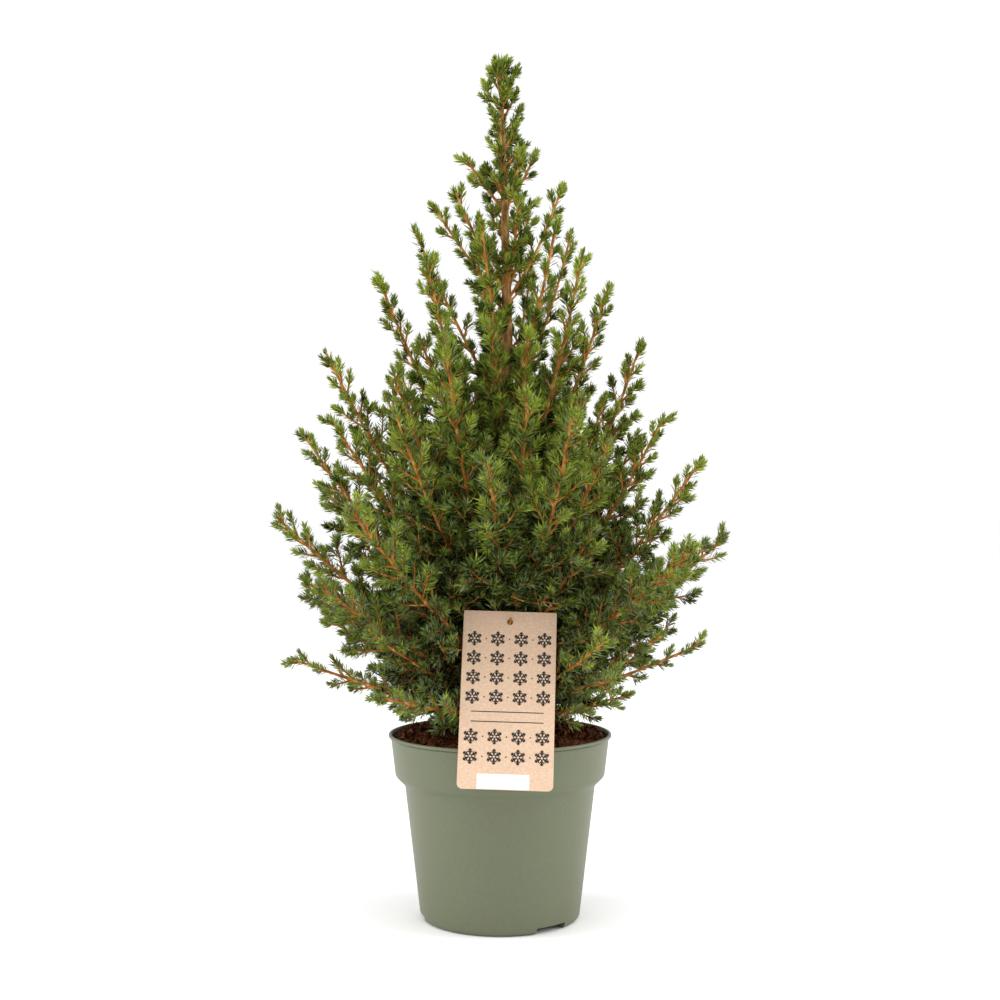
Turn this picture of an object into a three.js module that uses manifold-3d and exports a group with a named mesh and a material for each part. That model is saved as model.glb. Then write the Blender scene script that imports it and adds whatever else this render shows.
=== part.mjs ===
// A dwarf white spruce growing in a round nursery pot, with a card label hung on a twig in front.
// Millimetres, +Z up, +X to the right and -Y towards the front. The origin is the middle of the
// pot's flat underside. The trunk is one tapering stem. Rings of boughs leave it from the soil up,
// and each bough ends in a spray: a stem with side twigs, both set with needles.
import * as THREE from "three";
import { mergeVertices } from "three/addons/utils/BufferGeometryUtils.js";
import Module from "manifold-3d";

const wasm = await Module();
wasm.setup();

// The gap kept between pieces that rest on each other.
const GAP = 0.3;

// The pot: a 17 cm nursery pot with a deep collar, open on top and flat underneath.
const POT_HEIGHT = 140;
const POT_WALL = 1.4;
const POT_FLOOR = 2;
const POT_SEGMENTS = 32;
const BASE_RADIUS = 61;
const BASE_ROUNDING = 4;
const BODY_TOP = { radius: 72.4, height: 99.5 };
const COLLAR_BOTTOM = { radius: 80, height: 110 };
const COLLAR_TOP = { radius: 83.2, height: 136.8 };
const RIM_RADIUS = 85;
const RIM_WIDTH = 2.2;
const RIM_UNDERSIDE = 0.8;
const NOTCH = { width: 27, height: 5, from: 50, count: 3, firstDegrees: 309 };

// The curve from the pot's body out to its collar: steps out from the body's top, and how far
// each is up the shoulder.
const SHOULDER = [
  { out: 1.2, up: 0.24 },
  { out: 6.6, up: 0.68 },
];

// The soil, level round the trunk and heaped above the rim, falling away at the wall. Its
// surface is lumpy. Its foot is cut back where the pot's notches are.
const SOIL_TOP = 143;
const SOIL_FLAT_RADIUS = 17;
const SOIL_EDGE_DROP = 7;
const SOIL_EDGE_POWER = 4;
const SOIL_LUMP = 1.3;
const LUMP_WAVE = { long: 0.12, short: 0.21, shift: 1.3 };
const SOIL_RINGS = [78, 71, 58, 43, 28];
const SOIL_FOOT = { flatRadius: 42, turnRadius: 48, turnRise: 6, wallRise: 9 };

// The tree above the soil.
const TREE_HEIGHT = 514;
const TRUNK_BASE_RADIUS = 8.6;
const TRUNK_TIP_RADIUS = 1.1;
const TRUNK_SWAY = { x: 5.5, y: 2.75 };
const TRUNK_SIDES = 12;
const TRUNK_FOOT_RISES = [GAP, 3, 8, 16, 30];
const TRUNK_RING_STEP = 42;
const ROOT_FLARE = 4.5;
const ROOT_FLARE_HEIGHT = 9;
const ROOT_SPUR = { count: 4, size: 0.16, height: 7, turn: 0.6 };
const LEADER_LENGTH = 74;

// The rings of boughs from the lowest. foot is where the ring leaves the trunk, above the soil;
// left and right are the rise above the soil and the sideways reach from the trunk of its two
// side tips; turn is how far these two are turned from due left and due right; between holds the
// directions of its other boughs: 0 is right, 90 back, 180 left, 270 front.
const RINGS = [
  { foot: 8, left: [56, 152], right: [68, 150], turn: [14, -12], between: [62, 118] },
  { foot: 20, left: [112, 157], right: [147, 180], turn: [-16, 14], between: [216, 320] },
  { foot: 33, left: [162, 168], right: [205, 148], turn: [8, -16], between: [231, 95] },
  { foot: 50, left: [228, 156], right: [236, 121], turn: [-12, -14], between: [292, 45] },
  { foot: 67, left: [284, 130], right: [298, 110], turn: [12, 12], between: [252, 132] },
  { foot: 143, left: [350, 96], right: [336, 82], turn: [-14, -10], between: [235, 72] },
  { foot: 239, left: [380, 65], right: [382, 55], turn: [10, 16], between: [318, 110] },
  { foot: 323, left: [401, 51], right: [413, 47], turn: [-10, -14], between: [228, 60] },
  { foot: 395, left: [436, 27], right: [442, 27], turn: [10, 12], between: [] },
];
const WOODY_RINGS = 5;
const FOOT_STEP = 3.2;
const BOUGH_SHARE = 0.3;
const CONTROL_REACH = 0.57;
const CONTROL_RISE = 0.43;
const SIDE_SWAY = 0.07;
const BOUGH_THICKNESS = 0.36;
const BOUGH_END_RADIUS = 1.7;
const BOUGH_RINGS = 4;
const BOUGH_SIDES = 5;
const ABOVE_FLARE = 20;
const LINE_STEPS = 14;

// The sprays: three-sided stems and twigs in bands, with three needles standing out of each band.
const STEM_RADIUS = 1.5;
const STEM_TIP_RADIUS = 0.9;
const BAND = 12.2;
const TWIG_SPACING = 13;
const TWIG_LENGTH = 52;
const TWIG_LENGTH_AT_TIP = 18;
const TWIG_SHARE = 0.42;
const TWIG_RADIUS = 1.1;
const TWIG_TAPER = 0.7;
const TWIG_ANGLE = 48;
const TWIG_LIFT = 0.16;
const TWIG_TURN = 60;
const TWIG_JITTER = { from: 0.25, place: 0.4, length: 0.3 };
const SITE_PULL = 0.35;
const NEEDLE_LENGTH = 14;
const NEEDLE_LEAN = 46;
const TIP_NEEDLE_REACH = 6;
const TIP_NEEDLE_SHARE = 0.7;
const BUD_LENGTH = 3;
const SPACE_GAP = 1.6;
const LIMB_GAP = 2;
const SOIL_CLEARANCE = 5;
const TWIG_CLEARANCE = 6;
const GOLDEN_ANGLE = 137.508;

// The card label, leaning on the pot's rim with a twig through its hole.
const TAG = { width: 68, height: 130.6, thickness: 0.6, corner: 4, lean: 21, turn: -1.9, x: 5.5 };
const TAG_ABOVE_RIM = 37;
const TAG_TOP_CORNER = 1;
const TAG_MARGIN = 3;
const TAG_HOLE = { radius: 2.1, below: 8 };
const TAG_TWIG = { foot: 45, radius: 2, holeRadius: 1.6, endRadius: 1.5, past: 6, sides: 6 };

const UP = new THREE.Vector3(0, 0, 1);
const radians = THREE.MathUtils.degToRad;
const mix = THREE.MathUtils.lerp;

// A repeatable stream of numbers from 0 to 1.
function seededRandom(seed) {
  let state = Math.imul(seed + 1, 2654435761) >>> 0;
  return () => {
    state = (Math.imul(state, 1664525) + 1013904223) >>> 0;
    return state / 4294967296;
  };
}

function toSolid(geometry) {
  const bare = geometry.clone();
  bare.deleteAttribute("normal");
  bare.deleteAttribute("uv");
  const merged = mergeVertices(bare, 1e-4);
  const vertProperties = new Float32Array(merged.attributes.position.array);
  const triVerts = new Uint32Array(merged.index.array);
  return new wasm.Manifold(new wasm.Mesh({ numProp: 3, vertProperties, triVerts }));
}

function toGeometry(solid) {
  const mesh = solid.getMesh();
  const geometry = new THREE.BufferGeometry();
  geometry.setAttribute("position", new THREE.BufferAttribute(mesh.vertProperties, 3));
  geometry.setIndex(new THREE.BufferAttribute(mesh.triVerts, 1));
  geometry.computeVertexNormals();
  return geometry;
}

// The largest of the separate bodies that a cut may leave.
function largestBody(solid) {
  return solid.decompose().reduce((a, b) => (a.volume() > b.volume() ? a : b));
}

function geometryFrom(vertices, triangles) {
  const geometry = new THREE.BufferGeometry();
  const flat = vertices.flatMap((v) => [v.x, v.y, v.z]);
  geometry.setAttribute("position", new THREE.Float32BufferAttribute(flat, 3));
  geometry.setIndex(triangles);
  return geometry;
}

// Two directions across a limb that runs along tangent: the first level, the second upwards.
function across(tangent) {
  const level = new THREE.Vector3().crossVectors(UP, tangent);
  if (level.lengthSq() < 1e-6) level.set(1, 0, 0);
  level.normalize();
  return { level, upward: new THREE.Vector3().crossVectors(tangent, level).normalize() };
}

function onRing(centre, frame, radius, angle) {
  return centre
    .clone()
    .addScaledVector(frame.level, radius * Math.cos(angle))
    .addScaledVector(frame.upward, radius * Math.sin(angle));
}

function tangents(centres) {
  return centres.map((_, i) => {
    const before = centres[Math.max(0, i - 1)];
    const after = centres[Math.min(centres.length - 1, i + 1)];
    return after.clone().sub(before).normalize();
  });
}

// A closed tapering limb through the given centres, with flat ends square to its directions.
function limb(centres, radii, sides, directions = tangents(centres), shape = () => 1) {
  const vertices = [];
  const triangles = [];
  centres.forEach((centre, i) => {
    const frame = across(directions[i]);
    for (let j = 0; j < sides; j++) {
      const angle = (2 * Math.PI * j) / sides;
      vertices.push(onRing(centre, frame, radii[i] * shape(i, angle), angle));
    }
  });
  for (let i = 0; i + 1 < centres.length; i++)
    for (let j = 0; j < sides; j++) {
      const a = i * sides + j;
      const b = i * sides + ((j + 1) % sides);
      triangles.push(a, b, b + sides, a, b + sides, a + sides);
    }
  const last = (centres.length - 1) * sides;
  for (let j = 1; j + 1 < sides; j++) {
    triangles.push(0, j + 1, j);
    triangles.push(last, last + j, last + j + 1);
  }
  return geometryFrom(vertices, triangles);
}

// The trunk's middle at a height above the ground: it sways once to the side and twice in depth.
function trunkPoint(height) {
  const share = (height - SOIL_TOP) / TREE_HEIGHT;
  const x = TRUNK_SWAY.x * Math.sin(Math.PI * share);
  const y = TRUNK_SWAY.y * Math.sin(2 * Math.PI * share);
  return new THREE.Vector3(x, y, height);
}

function trunkRadius(height) {
  const share = (height - SOIL_TOP) / TREE_HEIGHT;
  const flare = ROOT_FLARE * Math.exp(-(height - SOIL_TOP) / ROOT_FLARE_HEIGHT);
  return mix(TRUNK_BASE_RADIUS, TRUNK_TIP_RADIUS, share) + flare;
}

const TRUNK_TOP = SOIL_TOP + TREE_HEIGHT - LEADER_LENGTH;

// The trunk, with root spurs in its flare; extra makes the fatter one that boughs are cut by.
function trunkGeometry(extra = 0) {
  const rises = [...TRUNK_FOOT_RISES];
  const last = TREE_HEIGHT - LEADER_LENGTH - GAP;
  const steps = Math.round((last - rises.at(-1)) / TRUNK_RING_STEP);
  for (let i = 1; i <= steps; i++) rises.push(mix(TRUNK_FOOT_RISES.at(-1), last, i / steps));
  const centres = rises.map((rise) => trunkPoint(SOIL_TOP + rise));
  const radii = centres.map((centre) => trunkRadius(centre.z) + extra);
  const level = centres.map(() => UP);
  const spurs = (i, angle) => {
    const size = ROOT_SPUR.size * Math.exp(-rises[i] / ROOT_SPUR.height);
    return 1 + size * Math.cos(ROOT_SPUR.count * angle + ROOT_SPUR.turn);
  };
  return limb(centres, radii, TRUNK_SIDES, level, spurs);
}

// The limbs

// A bough's line, from the trunk's middle to its furthest tip.
function boughLine(ring, k, direction, turn) {
  const angle = radians(direction);
  const toRight = (1 + Math.cos(angle)) / 2;
  const rise = mix(ring.left[0], ring.right[0], toRight);
  const sideways = mix(ring.left[1], ring.right[1], toRight);
  const reach = turn < ring.turn.length ? sideways / Math.abs(Math.cos(angle)) : sideways;
  const random = seededRandom(100 * k + turn);
  const footHeight = SOIL_TOP + ring.foot + FOOT_STEP * turn;
  const foot = trunkPoint(footHeight);
  const outward = new THREE.Vector3(Math.cos(angle), Math.sin(angle), 0);
  const aside = new THREE.Vector3(-outward.y, outward.x, 0);
  const climb = SOIL_TOP + rise - footHeight;
  const control = foot
    .clone()
    .addScaledVector(outward, CONTROL_REACH * reach)
    .addScaledVector(aside, SIDE_SWAY * reach * (2 * random() - 1))
    .addScaledVector(UP, CONTROL_RISE * climb);
  const tip = new THREE.Vector3(reach * outward.x, reach * outward.y, SOIL_TOP + rise);
  return new THREE.QuadraticBezierCurve3(foot, control, tip);
}

// Every bough in order: its name, its line, and where its spray begins along that line.
function allBoughs() {
  const boughs = [];
  RINGS.forEach((ring, k) => {
    const sides = [180 + ring.turn[0], ring.turn[1]];
    [...sides, ...ring.between].forEach((direction, turn) => {
      const line = boughLine(ring, k, direction, turn);
      const woody = k < WOODY_RINGS;
      const name = `${k + 1}${"abcd"[turn]}`;
      const seed = 10 * k + turn + 500;
      boughs.push({ name, line, woody, from: woody ? BOUGH_SHARE : 0, seed });
    });
  });
  const top = trunkPoint(SOIL_TOP + TREE_HEIGHT);
  const foot = trunkPoint(TRUNK_TOP);
  const middle = foot.clone().lerp(top, 0.5);
  const leader = new THREE.QuadraticBezierCurve3(foot, middle, top);
  boughs.push({ name: "leader", line: leader, woody: false, from: 0, seed: 900, leader: true });
  return boughs;
}

const BOUGHS = allBoughs();

// Straight stretches of each bough's line, which share out the crown's space between the sprays.
const LINE_POINTS = BOUGHS.map((bough) => bough.line.getPoints(LINE_STEPS));

function distanceToLine(point, points) {
  const nearest = new THREE.Vector3();
  const stretch = new THREE.Line3();
  let least = Infinity;
  for (let i = 0; i + 1 < points.length; i++) {
    stretch.set(points[i], points[i + 1]);
    stretch.closestPointToPoint(point, true, nearest);
    least = Math.min(least, nearest.distanceTo(point));
  }
  return least;
}

// The label's own frame: its middle, and its directions across, up and out of its face.
function tagFrame() {
  const lean = radians(TAG.lean);
  const upward = new THREE.Vector3(0, Math.sin(lean), Math.cos(lean));
  const outward = new THREE.Vector3(0, -Math.cos(lean), Math.sin(lean));
  const turned = new THREE.Quaternion().setFromAxisAngle(outward, radians(TAG.turn));
  const centre = new THREE.Vector3(TAG.x, -RIM_RADIUS, POT_HEIGHT)
    .addScaledVector(outward, GAP + TAG.thickness / 2)
    .addScaledVector(upward, TAG_ABOVE_RIM);
  upward.applyQuaternion(turned);
  return { centre, upward, outward, right: new THREE.Vector3().crossVectors(upward, outward) };
}

const TAG_FRAME = tagFrame();

function nearTag(point) {
  const offset = point.clone().sub(TAG_FRAME.centre);
  return (
    Math.abs(offset.dot(TAG_FRAME.right)) < TAG.width / 2 + TAG_MARGIN &&
    Math.abs(offset.dot(TAG_FRAME.upward)) < TAG.height / 2 + TAG_MARGIN &&
    offset.dot(TAG_FRAME.outward) > -TAG_MARGIN
  );
}

// The short twig that goes through the label's hole.
function tagTwigEnds() {
  const hole = TAG_FRAME.centre
    .clone()
    .addScaledVector(TAG_FRAME.upward, TAG.height / 2 - TAG_HOLE.below);
  const foot = trunkPoint(SOIL_TOP + TAG_TWIG.foot);
  const end = hole.clone().addScaledVector(hole.clone().sub(foot).normalize(), TAG_TWIG.past);
  return [foot, hole, end];
}

const TAG_TWIG_LINE = tagTwigEnds();

// True where a point keeps to the space of its own spray and clear of everything else.
function isClear(point, own) {
  if (point.z < SOIL_TOP + SOIL_CLEARANCE) return false;
  if (nearTag(point)) return false;
  if (distanceToLine(point, TAG_TWIG_LINE) < TAG_TWIG.radius + LIMB_GAP) return false;
  if (point.z < TRUNK_TOP + LIMB_GAP) {
    const axis = trunkPoint(point.z);
    const fromAxis = Math.hypot(point.x - axis.x, point.y - axis.y);
    if (fromAxis < trunkRadius(point.z) + LIMB_GAP) return false;
  }
  const room = distanceToLine(point, LINE_POINTS[own]) + SPACE_GAP;
  return LINE_POINTS.every((line, i) => i === own || distanceToLine(point, line) > room);
}

// The sprays

// A spray is built as corners and faces, with faces as triples of corner numbers. Its stem and
// twigs are three-sided, in bands that turn by half a side each. Every other face of a band is a
// site: a twig grows out of it, a needle stands on it, or it stays flat.
function average(points) {
  const sum = new THREE.Vector3();
  points.forEach((point) => sum.add(point));
  return sum.divideScalar(points.length);
}

function addCorner(mesh, point) {
  return mesh.corners.push(point) - 1;
}

// The ring of three corners round a centre that follows another ring, half a side further round.
function nextRing(mesh, ring, centre, along, radius) {
  const corners = ring.map((number) => mesh.corners[number]);
  const middle = average(corners);
  return corners.map((corner, j) => {
    const side = average([corner, corners[(j + 1) % 3]]).sub(middle);
    side.addScaledVector(along, -side.dot(along)).setLength(radius);
    return addCorner(mesh, side.add(centre));
  });
}

// A stem or twig on from a ring of corners to a pointed bud. Its open sites are returned.
function addStem(mesh, firstRing, centres, radii) {
  const directions = tangents(centres);
  const sites = [];
  let ring = firstRing;
  for (let i = 1; i < centres.length; i++) {
    const next = nextRing(mesh, ring, centres[i], directions[i], radii[i]);
    for (let j = 0; j < 3; j++) {
      const after = (j + 1) % 3;
      mesh.faces.push([ring[after], next[after], next[j]]);
      const foot = [ring[j], ring[after], next[j]];
      const middle = average(foot.map((number) => mesh.corners[number]));
      const out = middle.clone().sub(centres[i]);
      out.addScaledVector(directions[i], -out.dot(directions[i])).normalize();
      const size = mix(1, TIP_NEEDLE_SHARE, (i - 1) / Math.max(1, centres.length - 2));
      sites.push({ band: i - 1, foot, middle, out, along: directions[i], size });
    }
    ring = next;
  }
  const point = centres.at(-1).clone().addScaledVector(directions.at(-1), BUD_LENGTH);
  const bud = addCorner(mesh, point);
  for (let j = 0; j < 3; j++) mesh.faces.push([ring[j], ring[(j + 1) % 3], bud]);
  mesh.axes.push(centres);
  return sites;
}

const ray = new THREE.Ray();
const hit = new THREE.Vector3();

// True where an edge of one face passes through the other, leaving out edges that touch it.
function edgesPierce(mesh, one, other) {
  const [a, b, c] = other.map((number) => mesh.corners[number]);
  return one.some((number, j) => {
    const following = one[(j + 1) % 3];
    if (other.includes(number) || other.includes(following)) return false;
    const from = mesh.corners[number];
    const to = mesh.corners[following];
    ray.origin.copy(from);
    ray.direction.subVectors(to, from).normalize();
    if (ray.intersectTriangle(a, b, c, false, hit) === null) return false;
    return hit.distanceTo(from) < from.distanceTo(to);
  });
}

// True where any of the added faces would pass through a face that is already there.
function crossesSpray(mesh, added) {
  const place = mesh.corners[added[0][0]];
  const near = mesh.faces.filter(
    ([number]) => mesh.corners[number].distanceTo(place) < 3 * NEEDLE_LENGTH,
  );
  return near.some((face) =>
    added.some((one) => edgesPierce(mesh, one, face) || edgesPierce(mesh, face, one)),
  );
}

// Closes a site with a needle, or with a flat face where a needle has no room.
function closeSite(mesh, site, own) {
  const [a, b, c] = site.foot;
  const lean = radians(NEEDLE_LEAN);
  const length = NEEDLE_LENGTH * site.size;
  const tip = site.middle
    .clone()
    .addScaledVector(site.out, length * Math.sin(lean))
    .addScaledVector(site.along, length * Math.cos(lean));
  if (isClear(tip, own)) {
    const apex = addCorner(mesh, tip);
    const needle = [[a, b, apex], [b, c, apex], [c, a, apex]];
    if (!crossesSpray(mesh, needle)) {
      mesh.faces.push(...needle);
      return;
    }
    mesh.corners.pop();
  }
  mesh.faces.push([a, b, c]);
}

function bandCount(length) {
  return Math.max(2, Math.round(length / BAND));
}

// Centres along a side twig, which ends where it would leave the spray's space.
function twigCentres(mesh, site, direction, length, own) {
  const bands = bandCount(length);
  const centres = [site.middle];
  for (let i = 1; i <= bands; i++) {
    const run = (length * i) / bands;
    const centre = site.middle
      .clone()
      .addScaledVector(direction, run)
      .addScaledVector(UP, (TWIG_LIFT * run * run) / length);
    if (!isClear(centre, own)) break;
    if (mesh.axes.some((axis) => distanceToLine(centre, axis) < TWIG_CLEARANCE)) break;
    centres.push(centre);
  }
  return centres;
}

// Grows a side twig out of the site whose face looks most nearly the wanted way round the stem.
function addTwig(mesh, sites, band, around, length, own) {
  const choices = sites.filter((site) => site.band === band && !site.used);
  if (choices.length === 0) return [];
  const frame = across(choices[0].along);
  const wanted = onRing(new THREE.Vector3(), frame, 1, radians(around));
  const site = choices.reduce((a, b) => (a.out.dot(wanted) > b.out.dot(wanted) ? a : b));
  const angle = radians(TWIG_ANGLE);
  const side = site.out.clone().lerp(wanted, SITE_PULL).normalize();
  const direction = site.along
    .clone()
    .multiplyScalar(Math.cos(angle))
    .addScaledVector(side, Math.sin(angle));
  const centres = twigCentres(mesh, site, direction, length, own);
  if (centres.length < 2) return [];
  site.used = true;
  const tipRadius = TWIG_TAPER * TWIG_RADIUS;
  const radii = centres.map((_, i) => mix(TWIG_RADIUS, tipRadius, i / centres.length));
  return addStem(mesh, site.foot, centres, radii);
}

// The stem that carries a bough on to its tip, with its side twigs and needles, as one solid.
function spray(own) {
  const { line, from, seed, woody } = BOUGHS[own];
  const mesh = { corners: [], faces: [], axes: [] };
  const random = seededRandom(seed);
  const whole = line.getLength();
  const begin = from + (woody ? GAP / whole : 0);
  const end = 1 - TIP_NEEDLE_REACH / whole;
  const length = whole * (end - begin);
  const bands = bandCount(length);
  const centres = [];
  for (let i = 0; i <= bands; i++) centres.push(line.getPoint(mix(begin, end, i / bands)));
  const radii = centres.map((_, i) => mix(STEM_RADIUS, STEM_TIP_RADIUS, i / bands));
  const frame = across(tangents(centres)[0]);
  const firstRing = [0, 1, 2].map((j) =>
    addCorner(mesh, onRing(centres[0], frame, radii[0], (2 * Math.PI * j) / 3)),
  );
  mesh.faces.push([firstRing[0], firstRing[2], firstRing[1]]);
  const stemSites = addStem(mesh, firstRing, centres, radii);
  const twigs = Math.floor(length / TWIG_SPACING);
  const twigSites = [];
  for (let i = 0; i < twigs; i++) {
    const share = (i + TWIG_JITTER.from + TWIG_JITTER.place * random()) / twigs;
    const around = i * GOLDEN_ANGLE + TWIG_TURN * random();
    const longest = Math.min(TWIG_LENGTH, TWIG_SHARE * length);
    const shortest = Math.min(TWIG_LENGTH_AT_TIP, longest / 2);
    const twigLength = mix(longest, shortest, share) * (1 + TWIG_JITTER.length * (random() - 0.5));
    const band = Math.min(bands - 1, Math.floor(share * bands));
    twigSites.push(...addTwig(mesh, stemSites, band, around, twigLength, own));
  }
  const openSites = [...stemSites, ...twigSites].filter((site) => !site.used);
  openSites.forEach((site) => closeSite(mesh, site, own));
  return toSolid(geometryFrom(mesh.corners, mesh.faces.flat()));
}

// The pot, the soil and the label

function turned(profile, segments) {
  const points = profile.map(([radius, height]) => new THREE.Vector2(radius, height));
  return new THREE.LatheGeometry(points, segments).rotateX(Math.PI / 2);
}

// Outer radius and height of the pot's wall from the base's rounding to the rim.
function potWallProfile() {
  const profile = [];
  for (const degrees of [0, 45, 90]) {
    const angle = radians(degrees);
    const radius = BASE_RADIUS - BASE_ROUNDING * (1 - Math.sin(angle));
    profile.push([radius, BASE_ROUNDING * (1 - Math.cos(angle))]);
  }
  const shoulder = COLLAR_BOTTOM.height - BODY_TOP.height;
  profile.push([BODY_TOP.radius, BODY_TOP.height]);
  for (const { out, up } of SHOULDER)
    profile.push([BODY_TOP.radius + out, BODY_TOP.height + up * shoulder]);
  profile.push([COLLAR_BOTTOM.radius, COLLAR_BOTTOM.height]);
  profile.push([COLLAR_TOP.radius, COLLAR_TOP.height]);
  return profile;
}

// Inside of the wall, grown inwards by extra for the soil that fills it.
function insideProfile(extra) {
  return potWallProfile()
    .slice(2)
    .map(([radius, height]) => [radius - POT_WALL - extra, height]);
}

function pot() {
  const outside = potWallProfile();
  const rim = [
    [RIM_RADIUS, COLLAR_TOP.height + RIM_UNDERSIDE],
    [RIM_RADIUS, POT_HEIGHT],
    [RIM_RADIUS - RIM_WIDTH, POT_HEIGHT],
  ];
  const inside = insideProfile(0).reverse();
  inside.push([BASE_RADIUS - BASE_ROUNDING, POT_FLOOR]);
  const profile = [[0, 0], ...outside, ...rim, ...inside, [0, POT_FLOOR]];
  let solid = toSolid(turned(profile, POT_SEGMENTS));
  for (let i = 0; i < NOTCH.count; i++) {
    const angle = radians(NOTCH.firstDegrees + (360 * i) / NOTCH.count);
    const depth = 2 * (BASE_RADIUS - NOTCH.from);
    const cutter = new THREE.BoxGeometry(depth, NOTCH.width, 2 * NOTCH.height);
    cutter.translate(NOTCH.from + depth / 2, 0, 0);
    solid = solid.subtract(toSolid(cutter.rotateZ(angle)));
  }
  return toGeometry(solid);
}

// Height of the soil's surface at a place in the pot: level at the trunk, lumpy towards the wall.
function soilHeight(x, y) {
  const radius = Math.hypot(x, y);
  const edge = RIM_RADIUS - POT_WALL;
  const share = Math.max(0, (radius - SOIL_FLAT_RADIUS) / (edge - SOIL_FLAT_RADIUS));
  const { long, short, shift } = LUMP_WAVE;
  const lumps = Math.sin(long * x + shift) * Math.cos(long * y) + Math.sin(short * (x - y)) / 2;
  const drop = SOIL_EDGE_DROP * share ** SOIL_EDGE_POWER;
  return SOIL_TOP - drop + SOIL_LUMP * Math.min(1, 3 * share) * lumps;
}

function soil() {
  const foot = [
    [0, POT_FLOOR + GAP],
    [SOIL_FOOT.flatRadius, POT_FLOOR + GAP],
    [SOIL_FOOT.turnRadius, POT_FLOOR + SOIL_FOOT.turnRise],
    [BASE_RADIUS - POT_WALL - GAP, POT_FLOOR + SOIL_FOOT.wallRise],
  ];
  const wall = insideProfile(GAP).slice(1);
  const [edgeRadius] = wall.pop();
  const top = [edgeRadius - GAP, ...SOIL_RINGS, SOIL_FLAT_RADIUS, 0];
  const profile = [...foot, ...wall, ...top.map((radius) => [radius, SOIL_TOP])];
  const geometry = turned(profile, POT_SEGMENTS);
  const places = geometry.attributes.position;
  for (let i = 0; i < places.count; i++)
    if (places.getZ(i) > SOIL_TOP - 0.01)
      places.setZ(i, soilHeight(places.getX(i), places.getY(i)));
  return geometry;
}

function tagGeometry() {
  const halfWidth = TAG.width / 2;
  const halfHeight = TAG.height / 2;
  const inset = TAG.corner;
  const shape = new THREE.Shape();
  shape.moveTo(-halfWidth + inset, -halfHeight);
  shape.lineTo(halfWidth - inset, -halfHeight);
  shape.absarc(halfWidth - inset, -halfHeight + inset, inset, -Math.PI / 2, 0);
  shape.lineTo(halfWidth, halfHeight - TAG_TOP_CORNER);
  shape.lineTo(halfWidth - TAG_TOP_CORNER, halfHeight);
  shape.lineTo(-halfWidth + TAG_TOP_CORNER, halfHeight);
  shape.lineTo(-halfWidth, halfHeight - TAG_TOP_CORNER);
  shape.lineTo(-halfWidth, -halfHeight + inset);
  shape.absarc(-halfWidth + inset, -halfHeight + inset, inset, Math.PI, 1.5 * Math.PI);
  const hole = new THREE.Path();
  hole.absarc(0, halfHeight - TAG_HOLE.below, TAG_HOLE.radius, 0, 2 * Math.PI, true);
  shape.holes.push(hole);
  const settings = { depth: TAG.thickness, bevelEnabled: false, curveSegments: 6 };
  return new THREE.ExtrudeGeometry(shape, settings).translate(0, 0, -TAG.thickness / 2);
}

// Materials, each with the colour and finish of the real surface

function material(colour, roughness) {
  return new THREE.MeshStandardMaterial({ color: colour, roughness, metalness: 0 });
}

const BARK = material(0x8a6a4c, 0.85);
const SHOOT_BARK = material(0xa87443, 0.8);
const NEEDLES = material(0x52682f, 0.6);
const PLASTIC = material(0x8b927a, 0.5);
const PEAT = material(0x37231a, 0.95);
const CARD = material(0xdcbd98, 0.8);

const plant = new THREE.Group();
const fatTrunk = toSolid(trunkGeometry(GAP));

function addPiece(name, geometry, surface) {
  const mesh = new THREE.Mesh(geometry, surface);
  mesh.name = name;
  plant.add(mesh);
  return mesh;
}

// A woody limb from the trunk's middle, cut back to sit against the trunk's side.
function limbFromTrunk(centres, radii, sides) {
  const whole = toSolid(limb(centres, radii, sides));
  return toGeometry(largestBody(whole.subtract(fatTrunk)));
}

addPiece("pot", pot(), PLASTIC);
addPiece("soil", soil(), PEAT);
addPiece("trunk", trunkGeometry(), BARK);

BOUGHS.forEach((bough, own) => {
  if (bough.woody) {
    const footHeight = bough.line.getPoint(0).z;
    const footRadius = BOUGH_THICKNESS * trunkRadius(footHeight + ABOVE_FLARE);
    const shares = Array.from({ length: BOUGH_RINGS + 1 }, (_, i) => i / BOUGH_RINGS);
    const centres = shares.map((share) => bough.line.getPoint(bough.from * share));
    const radii = shares.map((share) => mix(footRadius, BOUGH_END_RADIUS, share));
    addPiece(`bough_${bough.name}`, limbFromTrunk(centres, radii, BOUGH_SIDES), SHOOT_BARK);
  }
  let solid = spray(own);
  if (!bough.woody && !bough.leader) solid = largestBody(solid.subtract(fatTrunk));
  addPiece(`spray_${bough.name}`, toGeometry(solid), NEEDLES);
});

const tagTwigRadii = [TAG_TWIG.radius, TAG_TWIG.holeRadius, TAG_TWIG.endRadius];
addPiece("label_twig", limbFromTrunk(TAG_TWIG_LINE, tagTwigRadii, TAG_TWIG.sides), SHOOT_BARK);

const tag = addPiece("label", tagGeometry(), CARD);
tag.position.copy(TAG_FRAME.centre);
tag.quaternion.setFromRotationMatrix(
  new THREE.Matrix4().makeBasis(TAG_FRAME.right, TAG_FRAME.upward, TAG_FRAME.outward),
);

export default plant;
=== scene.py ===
"""A dwarf white spruce in a round nursery pot, with a card label hung on a twig in front.

Sizes are in millimetres, as in the part's source, and are turned to metres where a mesh is made.
The boughs follow the source's rule, and their twigs, needles and buds grow on from them.
"""
import itertools
import math

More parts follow.
